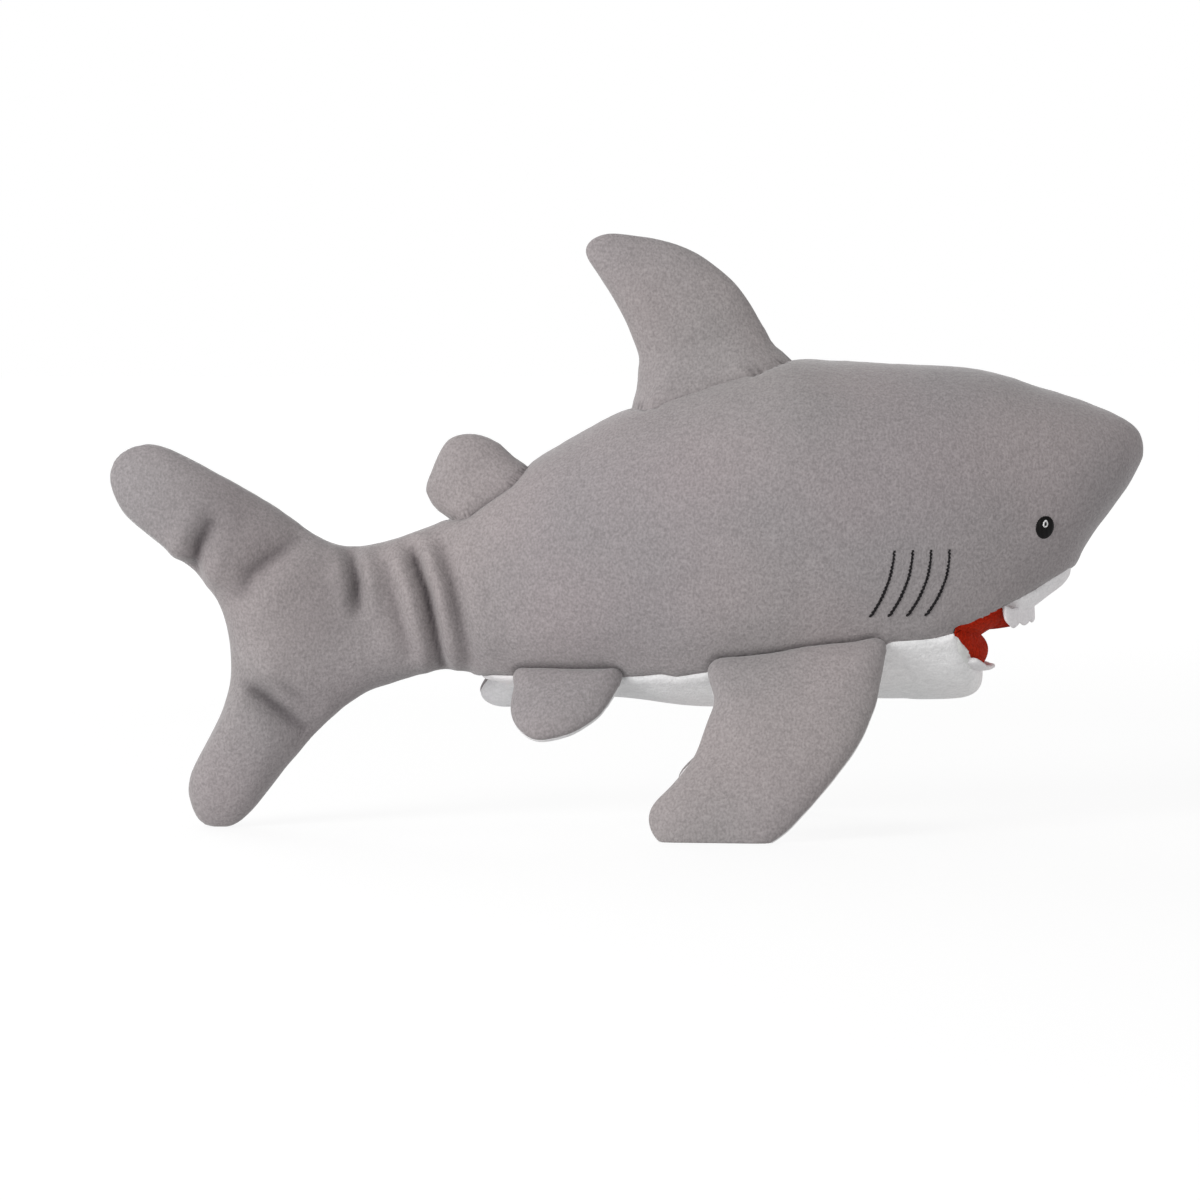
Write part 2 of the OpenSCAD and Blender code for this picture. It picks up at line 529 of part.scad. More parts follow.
side_panel_right();
side_panel_left();
belly_panel();
snout_underside();
palate_lining();
upper_teeth();
eye_right();
eye_left();
eye_glint_right();
eye_glint_left();
gill_stitches_right();
gill_stitches_left();
back_seam_thread();
belly_seam_thread_right();
belly_seam_thread_left();
closing_stitch();
body_filling();
chin_panel();
jaw_lining();
lower_teeth();
jaw_filling();
tail_panel_right();
tail_panel_left();
tail_filling();
dorsal_fin_right_face();
dorsal_fin_left_face();
dorsal_fin_filling();
second_dorsal_right_face();
second_dorsal_left_face();
second_dorsal_filling();
pectoral_right_outer();
pectoral_right_under();
pectoral_right_filling();
pectoral_left_outer();
pectoral_left_under();
pectoral_left_filling();
pelvic_right_outer();
pelvic_right_under();
pelvic_right_filling();
pelvic_left_outer();
pelvic_left_under();
pelvic_left_filling();
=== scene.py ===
import json
import math

import bpy
import numpy as np
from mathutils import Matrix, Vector, noise
from mathutils.bvhtree import BVHTree
from mathutils.kdtree import KDTree


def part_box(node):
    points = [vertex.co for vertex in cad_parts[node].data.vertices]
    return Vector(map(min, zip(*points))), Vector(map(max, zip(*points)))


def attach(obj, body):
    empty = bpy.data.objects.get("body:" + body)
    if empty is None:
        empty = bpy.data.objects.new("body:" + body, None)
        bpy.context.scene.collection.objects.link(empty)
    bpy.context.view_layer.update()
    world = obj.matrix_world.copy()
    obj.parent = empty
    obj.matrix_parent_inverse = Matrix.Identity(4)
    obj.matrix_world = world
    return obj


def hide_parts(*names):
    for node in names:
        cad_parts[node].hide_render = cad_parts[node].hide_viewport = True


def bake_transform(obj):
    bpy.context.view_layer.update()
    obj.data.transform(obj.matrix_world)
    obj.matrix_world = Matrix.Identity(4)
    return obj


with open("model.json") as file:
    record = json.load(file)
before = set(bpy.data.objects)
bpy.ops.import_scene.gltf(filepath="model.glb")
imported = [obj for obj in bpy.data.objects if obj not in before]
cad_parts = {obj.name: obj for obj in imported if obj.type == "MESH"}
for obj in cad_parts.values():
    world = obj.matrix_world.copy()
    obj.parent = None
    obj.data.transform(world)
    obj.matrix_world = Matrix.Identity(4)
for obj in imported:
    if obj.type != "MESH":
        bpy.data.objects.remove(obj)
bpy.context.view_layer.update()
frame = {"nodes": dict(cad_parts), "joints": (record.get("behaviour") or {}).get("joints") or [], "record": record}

# Shapes are worked out in millimetres and made in metres.
MM = 0.001
FABRIC_T = 0.9  # thickness of the pile fabric
VOXEL = 0.7  # edge length of the body's mesh
REMESH_UNIT = 0.1  # one millimetre during the remesh, which works best on a form some tens across


# --- reading the frame
def joined(parts):
    """Meshes, each as points and triangles, as one mesh."""
    points, triangles, start = [], [], 0
    for part_points, part_triangles in parts:
        points.append(part_points)
        triangles.append(part_triangles + start)
        start += len(part_points)
    return np.vstack(points), np.vstack(triangles)


def mesh_arrays(data):
    """A Blender mesh's points and triangles, in its own units."""
    points = np.empty(3 * len(data.vertices))
    data.vertices.foreach_get("co", points)
    data.calc_loop_triangles()
    corners = np.empty(3 * len(data.loop_triangles), int)
    data.loop_triangles.foreach_get("vertices", corners)
    return points.reshape(-1, 3), corners.reshape(-1, 3)


def cad_mesh(*names):
    """Points in millimetres and triangles of these CAD nodes, as one mesh."""
    parts = [mesh_arrays(frame["nodes"][name].data) for name in names]
    return joined([(points / MM, triangles) for points, triangles in parts])


def tree_of(points, triangles):
    """A search tree for rays and for the nearest place on a mesh."""
    return BVHTree.FromPolygons(points.tolist(), triangles.tolist(), all_triangles=True)


def box(node):
    """The lowest and highest corner of a CAD node's box, in millimetres."""
    low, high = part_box(node)
    return np.array(low) / MM, np.array(high) / MM


def joint(name):
    """A joint's place in millimetres and its axis."""
    row = next(j for j in frame["joints"] if j["name"] == name)
    axis = np.array(row["axis"], float)
    return np.array(row["pos_m"], float) / MM, axis / np.linalg.norm(axis)


STEM = joint("tail_swing")[0]
HINGE = joint("jaw_hinge")[0]
MOUTH_Z = HINGE[2] - 0.1  # height of the mouth's corners


def linked(name, data):
    """A new object in the scene with this data."""
    obj = bpy.data.objects.new(name, data)
    bpy.context.scene.collection.objects.link(obj)
    return obj


# --- mesh tools
def unit(v):
    v = np.asarray(v, float)
    return v / np.maximum(np.linalg.norm(v, axis=-1, keepdims=True), 1e-12)


def normals_of(points, triangles):
    a, b, c = (points[triangles[:, k]] for k in range(3))
    cross = np.cross(b - a, c - a)
    total = np.zeros_like(points)
    for k in range(3):
        for axis in range(3):
            total[:, axis] += np.bincount(triangles[:, k], cross[:, axis], len(points))
    return unit(total)


def sides_of(triangles):
    return np.vstack([triangles[:, [0, 1]], triangles[:, [1, 2]], triangles[:, [2, 0]]])


def edges_of(triangles):
    return np.unique(np.sort(sides_of(triangles), axis=1), axis=0)


def smoothed(points, triangles, rounds, share=0.5, weight=1.0):
    """Points moved towards their neighbours' middle, some more than others where weight says so."""
    a, b = edges_of(triangles).T
    count = np.bincount(np.concatenate([a, b]), minlength=len(points))[:, None]
    share = share * np.broadcast_to(weight, len(points))[:, None]
    points = points.copy()
    for _ in range(rounds):
        total = np.zeros_like(points)
        for axis in range(3):
            total[:, axis] = np.bincount(a, points[b, axis], len(points))
            total[:, axis] += np.bincount(b, points[a, axis], len(points))
        points += share * (total / count - points)
    return points


def grid_faces(rows, columns, closed=False):
    """Triangles between rows of points; closed joins each row's end to its start."""
    faces = []
    for i in range(rows - 1):
        for j in range(columns if closed else columns - 1):
            a, b = i * columns + j, i * columns + (j + 1) % columns
            faces += [[a, a + columns, b], [b, a + columns, b + columns]]
    return np.array(faces)


def fan(tip, start, count, turned=False):
    """Triangles from one point to each pair of neighbours in a closed row; turned has them face back."""
    row = start + np.arange(count)
    pair = (np.roll(row, -1), row) if turned else (row, np.roll(row, -1))
    return np.column_stack([np.full(count, tip), *pair])


def outwards(points, triangles):
    """The same triangles, turned so that a closed form has a positive volume."""
    a, b, c = (points[triangles[:, k]] for k in range(3))
    if np.einsum("ij,ij->", a, np.cross(b, c)) < 0:
        return triangles[:, ::-1]
    return triangles


def loft(rows):
    """A closed form through closed rows of points, with a fan at each end."""
    rows = np.array(rows)
    m, n = rows.shape[:2]
    points = np.vstack([rows.reshape(-1, 3), rows[0].mean(0), rows[-1].mean(0)])
    faces = np.vstack([grid_faces(m, n, True), fan(m * n, 0, n), fan(m * n + 1, (m - 1) * n, n, True)])
    return points, outwards(points, faces)


def remeshed(forms):
    """One even skin, as triangles, around closed forms that overlap."""
    points, faces = joined(forms)
    mesh = bpy.data.meshes.new("form")
    mesh.from_pydata((points * REMESH_UNIT).tolist(), [], faces.tolist())
    obj = linked("form", mesh)
    change = obj.modifiers.new("skin", "REMESH")
    change.mode = "VOXEL"
    change.voxel_size = VOXEL * REMESH_UNIT
    made = obj.evaluated_get(bpy.context.evaluated_depsgraph_get()).to_mesh()
    points, triangles = mesh_arrays(made)
    bpy.data.objects.remove(obj)
    bpy.data.meshes.remove(mesh)
    return points / REMESH_UNIT, triangles


def taken(points, normals, triangles):
    """The points that these triangles use, with their normals."""
    used, index = np.unique(triangles, return_inverse=True)
    return points[used], normals[used], index.reshape(-1, 3)


def cut(points, normals, triangles, field):
    """The part where field is positive and the part where it is negative, split exactly where it is zero."""
    field = np.where(np.abs(field) < 1e-4, 1e-4, field)
    above = field > 0
    sides = edges_of(triangles)
    crossing = sides[above[sides[:, 0]] != above[sides[:, 1]]]
    a, b = crossing.T
    t = (field[a] / (field[a] - field[b]))[:, None]
    new = len(points) + np.arange(len(crossing))
    points = np.vstack([points, points[a] + (points[b] - points[a]) * t])
    normals = np.vstack([normals, unit(normals[a] + (normals[b] - normals[a]) * t)])
    middle = {(int(p), int(q)): int(k) for (p, q), k in zip(crossing, new)}
    whole = above[triangles].sum(1)
    parts = {True: [triangles[whole == 3]], False: [triangles[whole == 0]]}
    split = {True: [], False: []}
    for tri in triangles[(whole == 1) | (whole == 2)]:
        side = above[tri].sum() == 1
        i = int(np.argmax(above[tri] == side))
        lone, p, q = int(tri[i]), int(tri[(i + 1) % 3]), int(tri[(i + 2) % 3])
        lp = middle[(min(lone, p), max(lone, p))]
        lq = middle[(min(lone, q), max(lone, q))]
        split[bool(side)].append([lone, lp, lq])
        split[not side] += [[lp, p, q], [lp, q, lq]]
    halves = []
    for side in (True, False):
        if split[side]:
            parts[side].append(np.array(split[side]))
        halves.append(taken(points, normals, np.vstack(parts[side])))
    return halves


def backed(points, normals, triangles):
    """A sheet of fabric: these triangles, the same ones sunk by its thickness, and the edges between."""
    sides = sides_of(triangles)
    _, index, count = np.unique(np.sort(sides, axis=1), axis=0, return_index=True, return_counts=True)
    a, b = sides[index[count == 1]].T
    n = len(points)
    rim = np.vstack([np.column_stack([a, a + n, b]), np.column_stack([b, a + n, b + n])])
    sheet = np.vstack([points, points - normals * FABRIC_T])
    return sheet, np.vstack([triangles, triangles[:, ::-1] + n, rim])


def waves(points, size, seed):
    """Smooth noise from -1 to 1 whose lumps are about size millimetres across."""
    shift = Vector((seed * 17.3, seed * 5.1, seed * 9.7))
    return np.array([noise.noise(Vector(p) / size + shift) for p in points.tolist()])


def bump(d, width):
    """1 where d is 0, fading to nothing over about twice the width."""
    return np.exp(-((d / width) ** 2))


# --- materials
def shader(name, base, roughness, sheen, sheen_tint=(1, 1, 1)):
    """A new material and its Principled shader."""
    material = bpy.data.materials.new(name)
    material.use_nodes = True
    principled = material.node_tree.nodes["Principled BSDF"]
    principled.inputs["Base Color"].default_value = (*base, 1)
    principled.inputs["Roughness"].default_value = roughness
    principled.inputs["Specular IOR Level"].default_value = 0.15
    principled.inputs["Sheen Weight"].default_value = sheen
    principled.inputs["Sheen Roughness"].default_value = 0.45
    principled.inputs["Sheen Tint"].default_value = (*sheen_tint, 1)
    return material, principled


def noise_node(tree, size, detail=2.0, stretch=(1, 1, 1)):
    """A noise texture whose lumps are about size millimetres across."""
    nodes, links = tree.nodes, tree.links
    place = nodes.new("ShaderNodeTexCoord")
    scale = nodes.new("ShaderNodeMapping")
    scale.inputs["Scale"].default_value = tuple(s / (size * MM) for s in stretch)
    texture = nodes.new("ShaderNodeTexNoise")
    texture.inputs["Scale"].default_value = 1.0
    texture.inputs["Detail"].default_value = detail
    links.new(place.outputs["Object"], scale.inputs["Vector"])
    links.new(scale.outputs["Vector"], texture.inputs["Vector"])
    return texture


def ramp_node(tree, source, low, high, start=0.3, stop=0.7):
    """A colour that goes from low to high as the source goes from start to stop."""
    ramp = tree.nodes.new("ShaderNodeValToRGB")
    ramp.color_ramp.elements[0].position = start
    ramp.color_ramp.elements[0].color = (*low, 1)
    ramp.color_ramp.elements[1].position = stop
    ramp.color_ramp.elements[1].color = (*high, 1)
    tree.links.new(source, ramp.inputs["Fac"])
    return ramp


def multiplied(tree, a, b):
    """Two colours multiplied."""
    mix = tree.nodes.new("ShaderNodeMix")
    mix.data_type = "RGBA"
    mix.blend_type = "MULTIPLY"
    mix.inputs["Factor"].default_value = 1.0
    tree.links.new(a, mix.inputs[6])
    tree.links.new(b, mix.inputs[7])
    return mix.outputs[2]


def relief(tree, principled, height, strength, distance):
    """A bump on the shader's surface, distance millimetres high."""
    node = tree.nodes.new("ShaderNodeBump")
    node.inputs["Strength"].default_value = strength
    node.inputs["Distance"].default_value = distance * MM
    tree.links.new(height, node.inputs["Height"])
    tree.links.new(node.outputs["Normal"], principled.inputs["Normal"])


def tinted(base, k):
    """A colour made k times as bright."""
    return tuple(min(1, c * k) for c in base)


# Sizes in millimetres of the patches where the pile lies another way
STROKED_PATCH = 22
WIDE_PATCH = 45
# Painted shade: how much of its colour the pile keeps where the painted shade is strongest, as at the bottom of
# the deepest fold
DEEPEST_PAINTED_SHADE = (0.22, 0.21, 0.22)


def pile(name, base, grain=0.45, depth=0.3, contrast=0.12, sheen=0.4, tint=(1, 1, 1), gloss=0.15):
    """Short dense pile: fine grain with a lie to it, soft patches where it was stroked, light edges.

    grain is the size of its tufts in millimetres, depth the strength of their relief, contrast how far their
    colours lie apart. Painted shade darkens it where the mesh marks a point as in a fold, along a sewing line
    or in a shaded place on the tail.
    """
    material, principled = shader(name, base, 0.95, sheen, tint)
    principled.inputs["Specular IOR Level"].default_value = gloss
    tree = material.node_tree
    fine = noise_node(tree, grain, 2.0, (1, 1, 0.8))
    slant = noise_node(tree, grain * 2.4, 2.0, (0.7, 1, 1.6))
    patch = noise_node(tree, STROKED_PATCH, 0.5)
    wide = noise_node(tree, WIDE_PATCH, 0.0)
    low, high = tinted(base, 1 - contrast), tinted(base, 1 + contrast)
    colour = ramp_node(tree, fine.outputs["Fac"], low, high, 0.32, 0.68)
    stroked = ramp_node(tree, slant.outputs["Fac"], (0.90,) * 3, (1.0,) * 3)
    soft = ramp_node(tree, patch.outputs["Fac"], (0.91, 0.925, 0.925), (1.0, 0.98, 0.98))
    cloudy = ramp_node(tree, wide.outputs["Fac"], (0.93, 0.925, 0.94), (1.0, 0.995, 0.985))
    # painted shade: the mesh's per-point value darkens the colour towards the deepest painted shade
    painted_shade = tree.nodes.new("ShaderNodeAttribute")
    painted_shade.attribute_name = "painted_shade"
    shade = ramp_node(tree, painted_shade.outputs["Fac"], (1.0,) * 3, DEEPEST_PAINTED_SHADE, 0.0, 1.0)
    mixed = colour.outputs["Color"]
    for layer in (stroked, soft, cloudy, shade):
        mixed = multiplied(tree, mixed, layer.outputs["Color"])
    tree.links.new(mixed, principled.inputs["Base Color"])
    height = tree.nodes.new("ShaderNodeMath")
    height.operation = "ADD"
    tree.links.new(fine.outputs["Fac"], height.inputs[0])
    tree.links.new(slant.outputs["Fac"], height.inputs[1])
    relief(tree, principled, height.outputs["Value"], depth, 0.5)
    return material


BANDS_PER_METRE = 6.3  # dark and light bands that a wave texture of scale 1 draws


def thread(name, base, size, roughness=0.55, gloss=0.4):
    """Satin stitch or twisted thread: stripes about size millimetres wide, and a soft gloss."""
    material, principled = shader(name, base, roughness, 0.0)
    principled.inputs["Specular IOR Level"].default_value = gloss
    tree = material.node_tree
    stripes = tree.nodes.new("ShaderNodeTexWave")
    stripes.inputs["Scale"].default_value = 1 / (size * MM) / BANDS_PER_METRE
    stripes.inputs["Distortion"].default_value = 1.5
    place = tree.nodes.new("ShaderNodeTexCoord")
    tree.links.new(place.outputs["Object"], stripes.inputs["Vector"])
    colour = ramp_node(tree, stripes.outputs["Fac"], tinted(base, 0.7), tinted(base, 1.15), 0, 1)
    tree.links.new(colour.outputs["Color"], principled.inputs["Base Color"])
    relief(tree, principled, stripes.outputs["Fac"], 0.4, 0.15)
    return material


PILES = {
    "grey_pile": {"base": (0.341, 0.312, 0.314), "contrast": 0.16},
    "white_pile": {"base": (0.95, 0.937, 0.94), "contrast": 0.05, "sheen": 0.1},
    "red_fleece": {"base": (0.45, 0.02, 0.005), "grain": 0.5, "depth": 0.5, "contrast": 0.3,
                   "sheen": 0.15, "tint": (1, 0.12, 0.03), "gloss": 0.04},
    "white_felt": {"base": (0.92, 0.90, 0.91), "grain": 0.4, "contrast": 0.04, "sheen": 0.1},
    "fibre": {"base": (0.85, 0.85, 0.83), "grain": 1.6, "depth": 0.8, "contrast": 0.08},
}
THREADS = {
    "black_embroidery": {"base": (0.004, 0.0035, 0.0035), "size": 0.4, "roughness": 0.6, "gloss": 0.12},
    "white_embroidery": {"base": (0.75, 0.75, 0.75), "size": 0.3},
    "dark_thread": {"base": (0.012, 0.011, 0.012), "size": 0.5, "roughness": 0.7, "gloss": 0.12},
    "sewing_thread": {"base": (0.4, 0.38, 0.38), "size": 0.4},
}
MATERIALS = {slot: pile(slot, **look) for slot, look in PILES.items()}
MATERIALS.update({slot: thread(slot, **look) for slot, look in THREADS.items()})


# --- the body's form
# The mouth, in millimetres
LIP_REACH = 6.4  # how far in front of its corners the lower lip runs
LIP_DROP = 7.1  # and how far below them
CHIN_START = HINGE[0] - 8.5  # where the chin's form begins inside the belly
PALATE_FRONT = box("upper_teeth")[1][0]
PALATE_TURN = 54  # degrees to each side over which the palate's rim follows the teeth
PALATE_BACK = HINGE[0] + 11.5  # where the skin beside the palate stops making room for it
SNOUT = (PALATE_FRONT + 8, MOUTH_Z + 10.1)  # x and z of the swelling above the white strip
SNOUT_SWELL = 1.2


def axis_height(x):
    """A height that is inside the body at every x."""
    low, high = box("body_filling")
    return np.interp(x, [low[0], 0.4 * high[0], high[0]], [STEM[2] + 1, STEM[2] + 15, high[2] - 17.6])


def ring_at(tree, x, steps):
    """Distances from the axis to the skin at x, going round from the back down the right side."""
    centre = Vector((x, 0, axis_height(x)))
    found = []
    for k in range(steps):
        a = 2 * math.pi * (k + 0.5) / steps
        way = Vector((0, -math.sin(a), math.cos(a)))
        hit = tree.ray_cast(centre + way * 90, -way)[0]
        found.append((hit - centre).length)
    return found


def blurred(rows, spread):
    """Rows smoothed along the first axis, keeping both ends where they are."""
    reach = int(3 * spread)
    weights = bump(np.arange(-reach, reach + 1), spread * 1.4)
    before = 2 * rows[:1] - rows[reach:0:-1]
    after = 2 * rows[-1:] - rows[-2:-reach - 2:-1]
    padded = np.concatenate([before, rows, after])
    return sum(w * padded[i:i + len(rows)] for i, w in enumerate(weights)) / weights.sum()


def trunk():
    """The body from the middle of the stem to the nose, as a closed form, and its CAD solids' search tree."""
    steps = 120
    body = tree_of(*cad_mesh("side_panel_right", "side_panel_left", "belly_panel", "snout_underside",
                             "palate_lining", "body_filling"))
    tail = tree_of(*cad_mesh("tail_panel_right", "tail_panel_left", "tail_filling"))
    low, high = box("side_panel_right")
    rear, front = STEM[0] - 8, low[0] + 1.5
    xs = np.arange(low[0] + 0.5, high[0] - 0.05, 1.0)
    rings = np.array([ring_at(body, x, steps) for x in xs])
    rings = blurred(blurred(rings, 2.0).T, 1.2).T
    end = np.array(ring_at(tail, rear, steps)) * 0.985
    stem_x = np.arange(rear, front, 1.0)
    start = rings[np.searchsorted(xs, front)]
    t = ((stem_x - rear) / (front - rear))[:, None]
    bridge = end + (start - end) * t * t * (3 - 2 * t)
    kept = xs >= front
    xs = np.concatenate([stem_x, xs[kept], [high[0] - 0.1]])
    rings = np.vstack([bridge, rings[kept], rings[-1:] * 0.5])
    a = 2 * math.pi * (np.arange(steps) + 0.5) / steps
    rows = [np.column_stack([np.full(steps, x), -r * np.sin(a), axis_height(x) + r * np.cos(a)])
            for x, r in zip(xs, rings)]
    return loft(rows), body


def mouth_half_width():
    """Distance of the mouth's corners from the middle."""
    return box("chin_panel")[1][1] + 0.1


def lip(a):
    """The lower lip's line, from the right corner at -1 to the left corner at 1."""
    return np.array([HINGE[0] + LIP_REACH * (1 - abs(a) ** 1.6), mouth_half_width() * a,
                     MOUTH_Z - 0.3 - LIP_DROP * (1 - a ** 4)])


def chin(body):
    """The lower jaw's closed form, which carries the belly on up to the lip."""
    columns = np.linspace(-1, 1, 61)
    rows = []
    for a in columns:
        side = lip(a)
        width = mouth_half_width() + 2.2
        start = Vector((CHIN_START, width * math.sin(a * 1.35) / math.sin(1.35), 0))
        hit = body.ray_cast(start, Vector((0, 0, 1)))[0]
        if hit is not None and hit.z < MOUTH_Z + 2:
            low = np.array(hit)
        else:
            low = np.array([start.x, start.y, MOUTH_Z - 0.8])
        open_ = 1 - a ** 2
        ahead = low + [5 + 5 * open_, (side[1] - low[1]) * 0.5, 0]
        side = side + [0.1 * open_, 0, -0.1]
        under = side + np.array([1.1 * open_, 0, -0.6 - 7.4 * open_])
        ring = []
        for t in np.linspace(0, 1, 26):  # a curve from the belly under the chin to the lip
            ring.append(low * (1 - t) ** 3 + 3 * ahead * t * (1 - t) ** 2
                        + 3 * under * t ** 2 * (1 - t) + side * t ** 3)
        ring.append(np.array([HINGE[0], side[1], MOUTH_Z + 0.1]))
        ring.append(np.array([CHIN_START, low[1] * 0.8, MOUTH_Z + 6]))
        rows.append(ring)
    return loft(rows)


def rounded(line, rounds):
    """A closed line evenly spaced and with its corners rounded, without shrinking it."""
    n = len(line)
    for i in range(rounds):
        middle = (np.roll(line, 1, axis=0) + np.roll(line, -1, axis=0)) / 2
        line = line + (0.5 if i % 2 == 0 else -0.505) * (middle - line)
    steps = np.linalg.norm(np.roll(line, -1, axis=0) - line, axis=1)
    along = np.concatenate([[0], np.cumsum(steps)])
    closed = np.vstack([line, line[:1]])
    even = np.linspace(0, along[-1], n, endpoint=False)
    return np.column_stack([np.interp(even, along, closed[:, k]) for k in range(3)])


def outline(face_a, face_b, count, rounding, grow, shift=(0, 0)):
    """A stuffed piece's middle, the way it faces, half its thickness and its rim, from its two CAD faces.

    shift moves the middle forward and up, to a place from which the whole rim can be seen.
    """
    a, b = cad_mesh(face_a)[0], cad_mesh(face_b)[0]
    both = np.vstack([a, b])
    rough = np.linalg.svd(both - both.mean(0), full_matrices=False)[2][2]
    top = a[np.argmax(np.abs((a - both.mean(0)) @ rough))]
    bottom = b[np.argmax(np.abs((b - both.mean(0)) @ rough))]
    normal = unit(top - bottom)
    centre = (top + bottom) / 2
    along = unit(np.array([1.0, 0, 0]) - normal * normal[0])
    across = np.cross(normal, along)
    centre = centre + along * shift[0] + across * shift[1]
    tree = tree_of(*cad_mesh(face_a, face_b))
    rim = []
    for k in range(3 * count):
        t = 2 * math.pi * k / (3 * count)
        way = along * math.cos(t) + across * math.sin(t)
        for side in (0.03, -0.03, 0.08):
            hit = tree.ray_cast(Vector(centre + way * 120 + normal * side), Vector(-way))[0]
            if hit is not None:
                break
        rim.append(np.array(hit) - normal * side)
    rays = np.array(rim) - centre
    reach = np.linalg.norm(rays, axis=1)
    usual = np.median([np.roll(reach, k) for k in range(-8, 9)], axis=0)
    # a ray that slipped past an edge gets the reach of its neighbours
    rays *= np.where(np.abs(reach - usual) > 0.1 * usual, usual / reach, 1)[:, None]
    evenly_spaced = rounded(centre + rays, 0)
    rim = rounded(evenly_spaced[::3], rounding)
    outward = np.cross(np.roll(rim, -1, axis=0) - np.roll(rim, 1, axis=0), normal)
    return {"centre": centre, "normal": normal, "half": np.linalg.norm(top - bottom) / 2,
            "rim": rim + unit(outward) * grow}


def pillow(centre, rim, up, high, low, fullness, rings=24):
    """A closed stuffed form: its middle is high above the rim on one side and low below it on the other.

    Its first triangles, as many as the third value says, are the upper side. A larger fullness is boxier.
    """
    count = len(rim)
    share = np.sin(np.pi / 2 * np.arange(1, rings + 1) / rings)[:, None]
    height = np.sqrt(np.maximum(1 - share ** np.broadcast_to(fullness, count)[None], 0))[:, :, None]
    flat = centre + share[:, :, None] * (rim - centre)[None]
    top = (flat + high * height * up).reshape(-1, 3)
    bottom = (flat - low * height * up).reshape(-1, 3)[:-count]
    n = len(top)
    points = np.vstack([top, bottom, centre + up * high, centre - up * low])
    grid = grid_faces(rings, count, True)
    upper = np.vstack([grid, fan(len(points) - 2, 0, count)])
    rows = np.concatenate([np.arange(n, n + (rings - 1) * count), np.arange(n - count, n)])
    lower = np.vstack([rows[grid][:, ::-1], fan(len(points) - 1, n, count, True)])
    return points, outwards(points, np.vstack([upper, lower])), len(upper)


# How much lower the seam runs where a fin covers it, and a height with no grey below it
SEAM_BEHIND_FINS = [("pectoral_right_outer", 1.0), ("pelvic_right_outer", 0.7)]
BELOW_ALL = -9.0


def seam_height(x):
    """Height of the seam between grey and white at x. Behind the belly all is grey."""
    side = cad_mesh("side_panel_right")[0]
    known = {tuple(p) for p in np.round(side, 2)}
    found = []
    for name in ("belly_panel", "snout_underside"):
        points = np.round(cad_mesh(name)[0], 2)
        shared = np.array([p for p in np.unique(points, axis=0) if tuple(p) in known])
        for place in np.unique(shared[:, 0]):
            here = shared[shared[:, 0] == place]
            found.append([place, here[np.argmin(here[:, 1])][2]])
    found = np.array(found + [[HINGE[0], MOUTH_Z]])
    found = found[np.argsort(found[:, 0])]
    height = np.interp(x, found[:, 0], found[:, 1])
    for name, drop in SEAM_BEHIND_FINS:
        rear, front = box(name)[0][0], box(name)[1][0]
        behind_fin = ramp(x, front, front - 3) * ramp(x, rear + 2, rear + 5)
        height = height - drop * behind_fin
    height = height - 0.5 * ramp(x, HINGE[0], HINGE[0] - 4)
    return np.where(x < found[0, 0], BELOW_ALL, height)


def to_line(points, line):
    """Distance in side view from points to a line of [x, z] places, and how far along it, from 0 to 1."""
    flat = points[:, [0, 2]]
    best, share = np.full(len(points), 1e9), np.zeros(len(points))
    steps = len(line) - 1
    for i in range(steps):
        a, b = np.array(line[i], float), np.array(line[i + 1], float)
        t = np.clip((flat - a) @ (b - a) / ((b - a) @ (b - a)), 0, 1)
        d = np.linalg.norm(flat - a - t[:, None] * (b - a), axis=1)
        near = d < best
        best, share = np.where(near, d, best), np.where(near, (i + t) / steps, share)
    return best, share


# Creases where the stem bends and folds in the tail: [x, z] from the stem's bending line, depth, width
CREASES = [
    ([[-9.3, 11], [-8.0, 5.4], [-7.7, 0.2]], 1.9, 1.4),
    ([[-2.4, 9], [-0.8, 2.2], [0.8, -3.2], [2.4, -8.5]], 1.0, 1.7),
    ([[3.0, 11.5], [3.6, 9.7], [5.9, 3.3], [7.5, -4.2], [8.8, -11.5]], 2.7, 1.5),
    ([[8.7, 13], [10.9, 5.4], [12.5, -2.1], [14.1, -10]], 1.5, 2.0),
    ([[-40.4, 7.6], [-40.2, 9.6], [-39.2, 13], [-37, 17.2]], 2.0, 1.9),
    ([[-31, 3.2], [-28.8, 7.3], [-25, 10.3], [-20.5, 13.6]], 1.5, 2.7),
    ([[-30, -15], [-25.2, -18.6], [-18.6, -24.2]], 2.2, 2.4),
    ([[-23, -15], [-17.5, -19]], 0.9, 1.8),
]


def crease_marks(points):
    """For every crease: its strength at each point, each point's distance from it, and its width.

    The left side's creases are shallower and shifted.
    """
    for line, depth, width in CREASES:
        for side, share, shift in ((-1, 1.0, 0.0), (1, 0.75, 1.6)):
            placed = [[STEM[0] + x + shift, STEM[2] + z] for x, z in line]
            d, along = to_line(points, placed)
            fade = np.sin(np.pi * np.clip(0.12 + 0.76 * along, 0, 1)) ** 0.7
            yield ramp(side * points[:, 1], 0.5, 3.5) * share * depth * fade, d, width


def creased(points):
    """How far each point sinks at the creases."""
    sink = np.zeros(len(points))
    for strength, d, width in crease_marks(points):
        sink += strength * (bump(d, width) + 0.2 * bump(d, 0.45 * width) - 0.3 * bump(d - 2.2 * width, width))
    return sink


ROOF_SLOPE = 0.24


def roof_height(x):
    """Height of the mouth's roof at x."""
    return MOUTH_Z + ROOF_SLOPE * (x - HINGE[0])


def ramp(value, start, stop):
    """0 at start, 1 at stop, even in between."""
    return np.clip((value - start) / (stop - start), 0, 1)


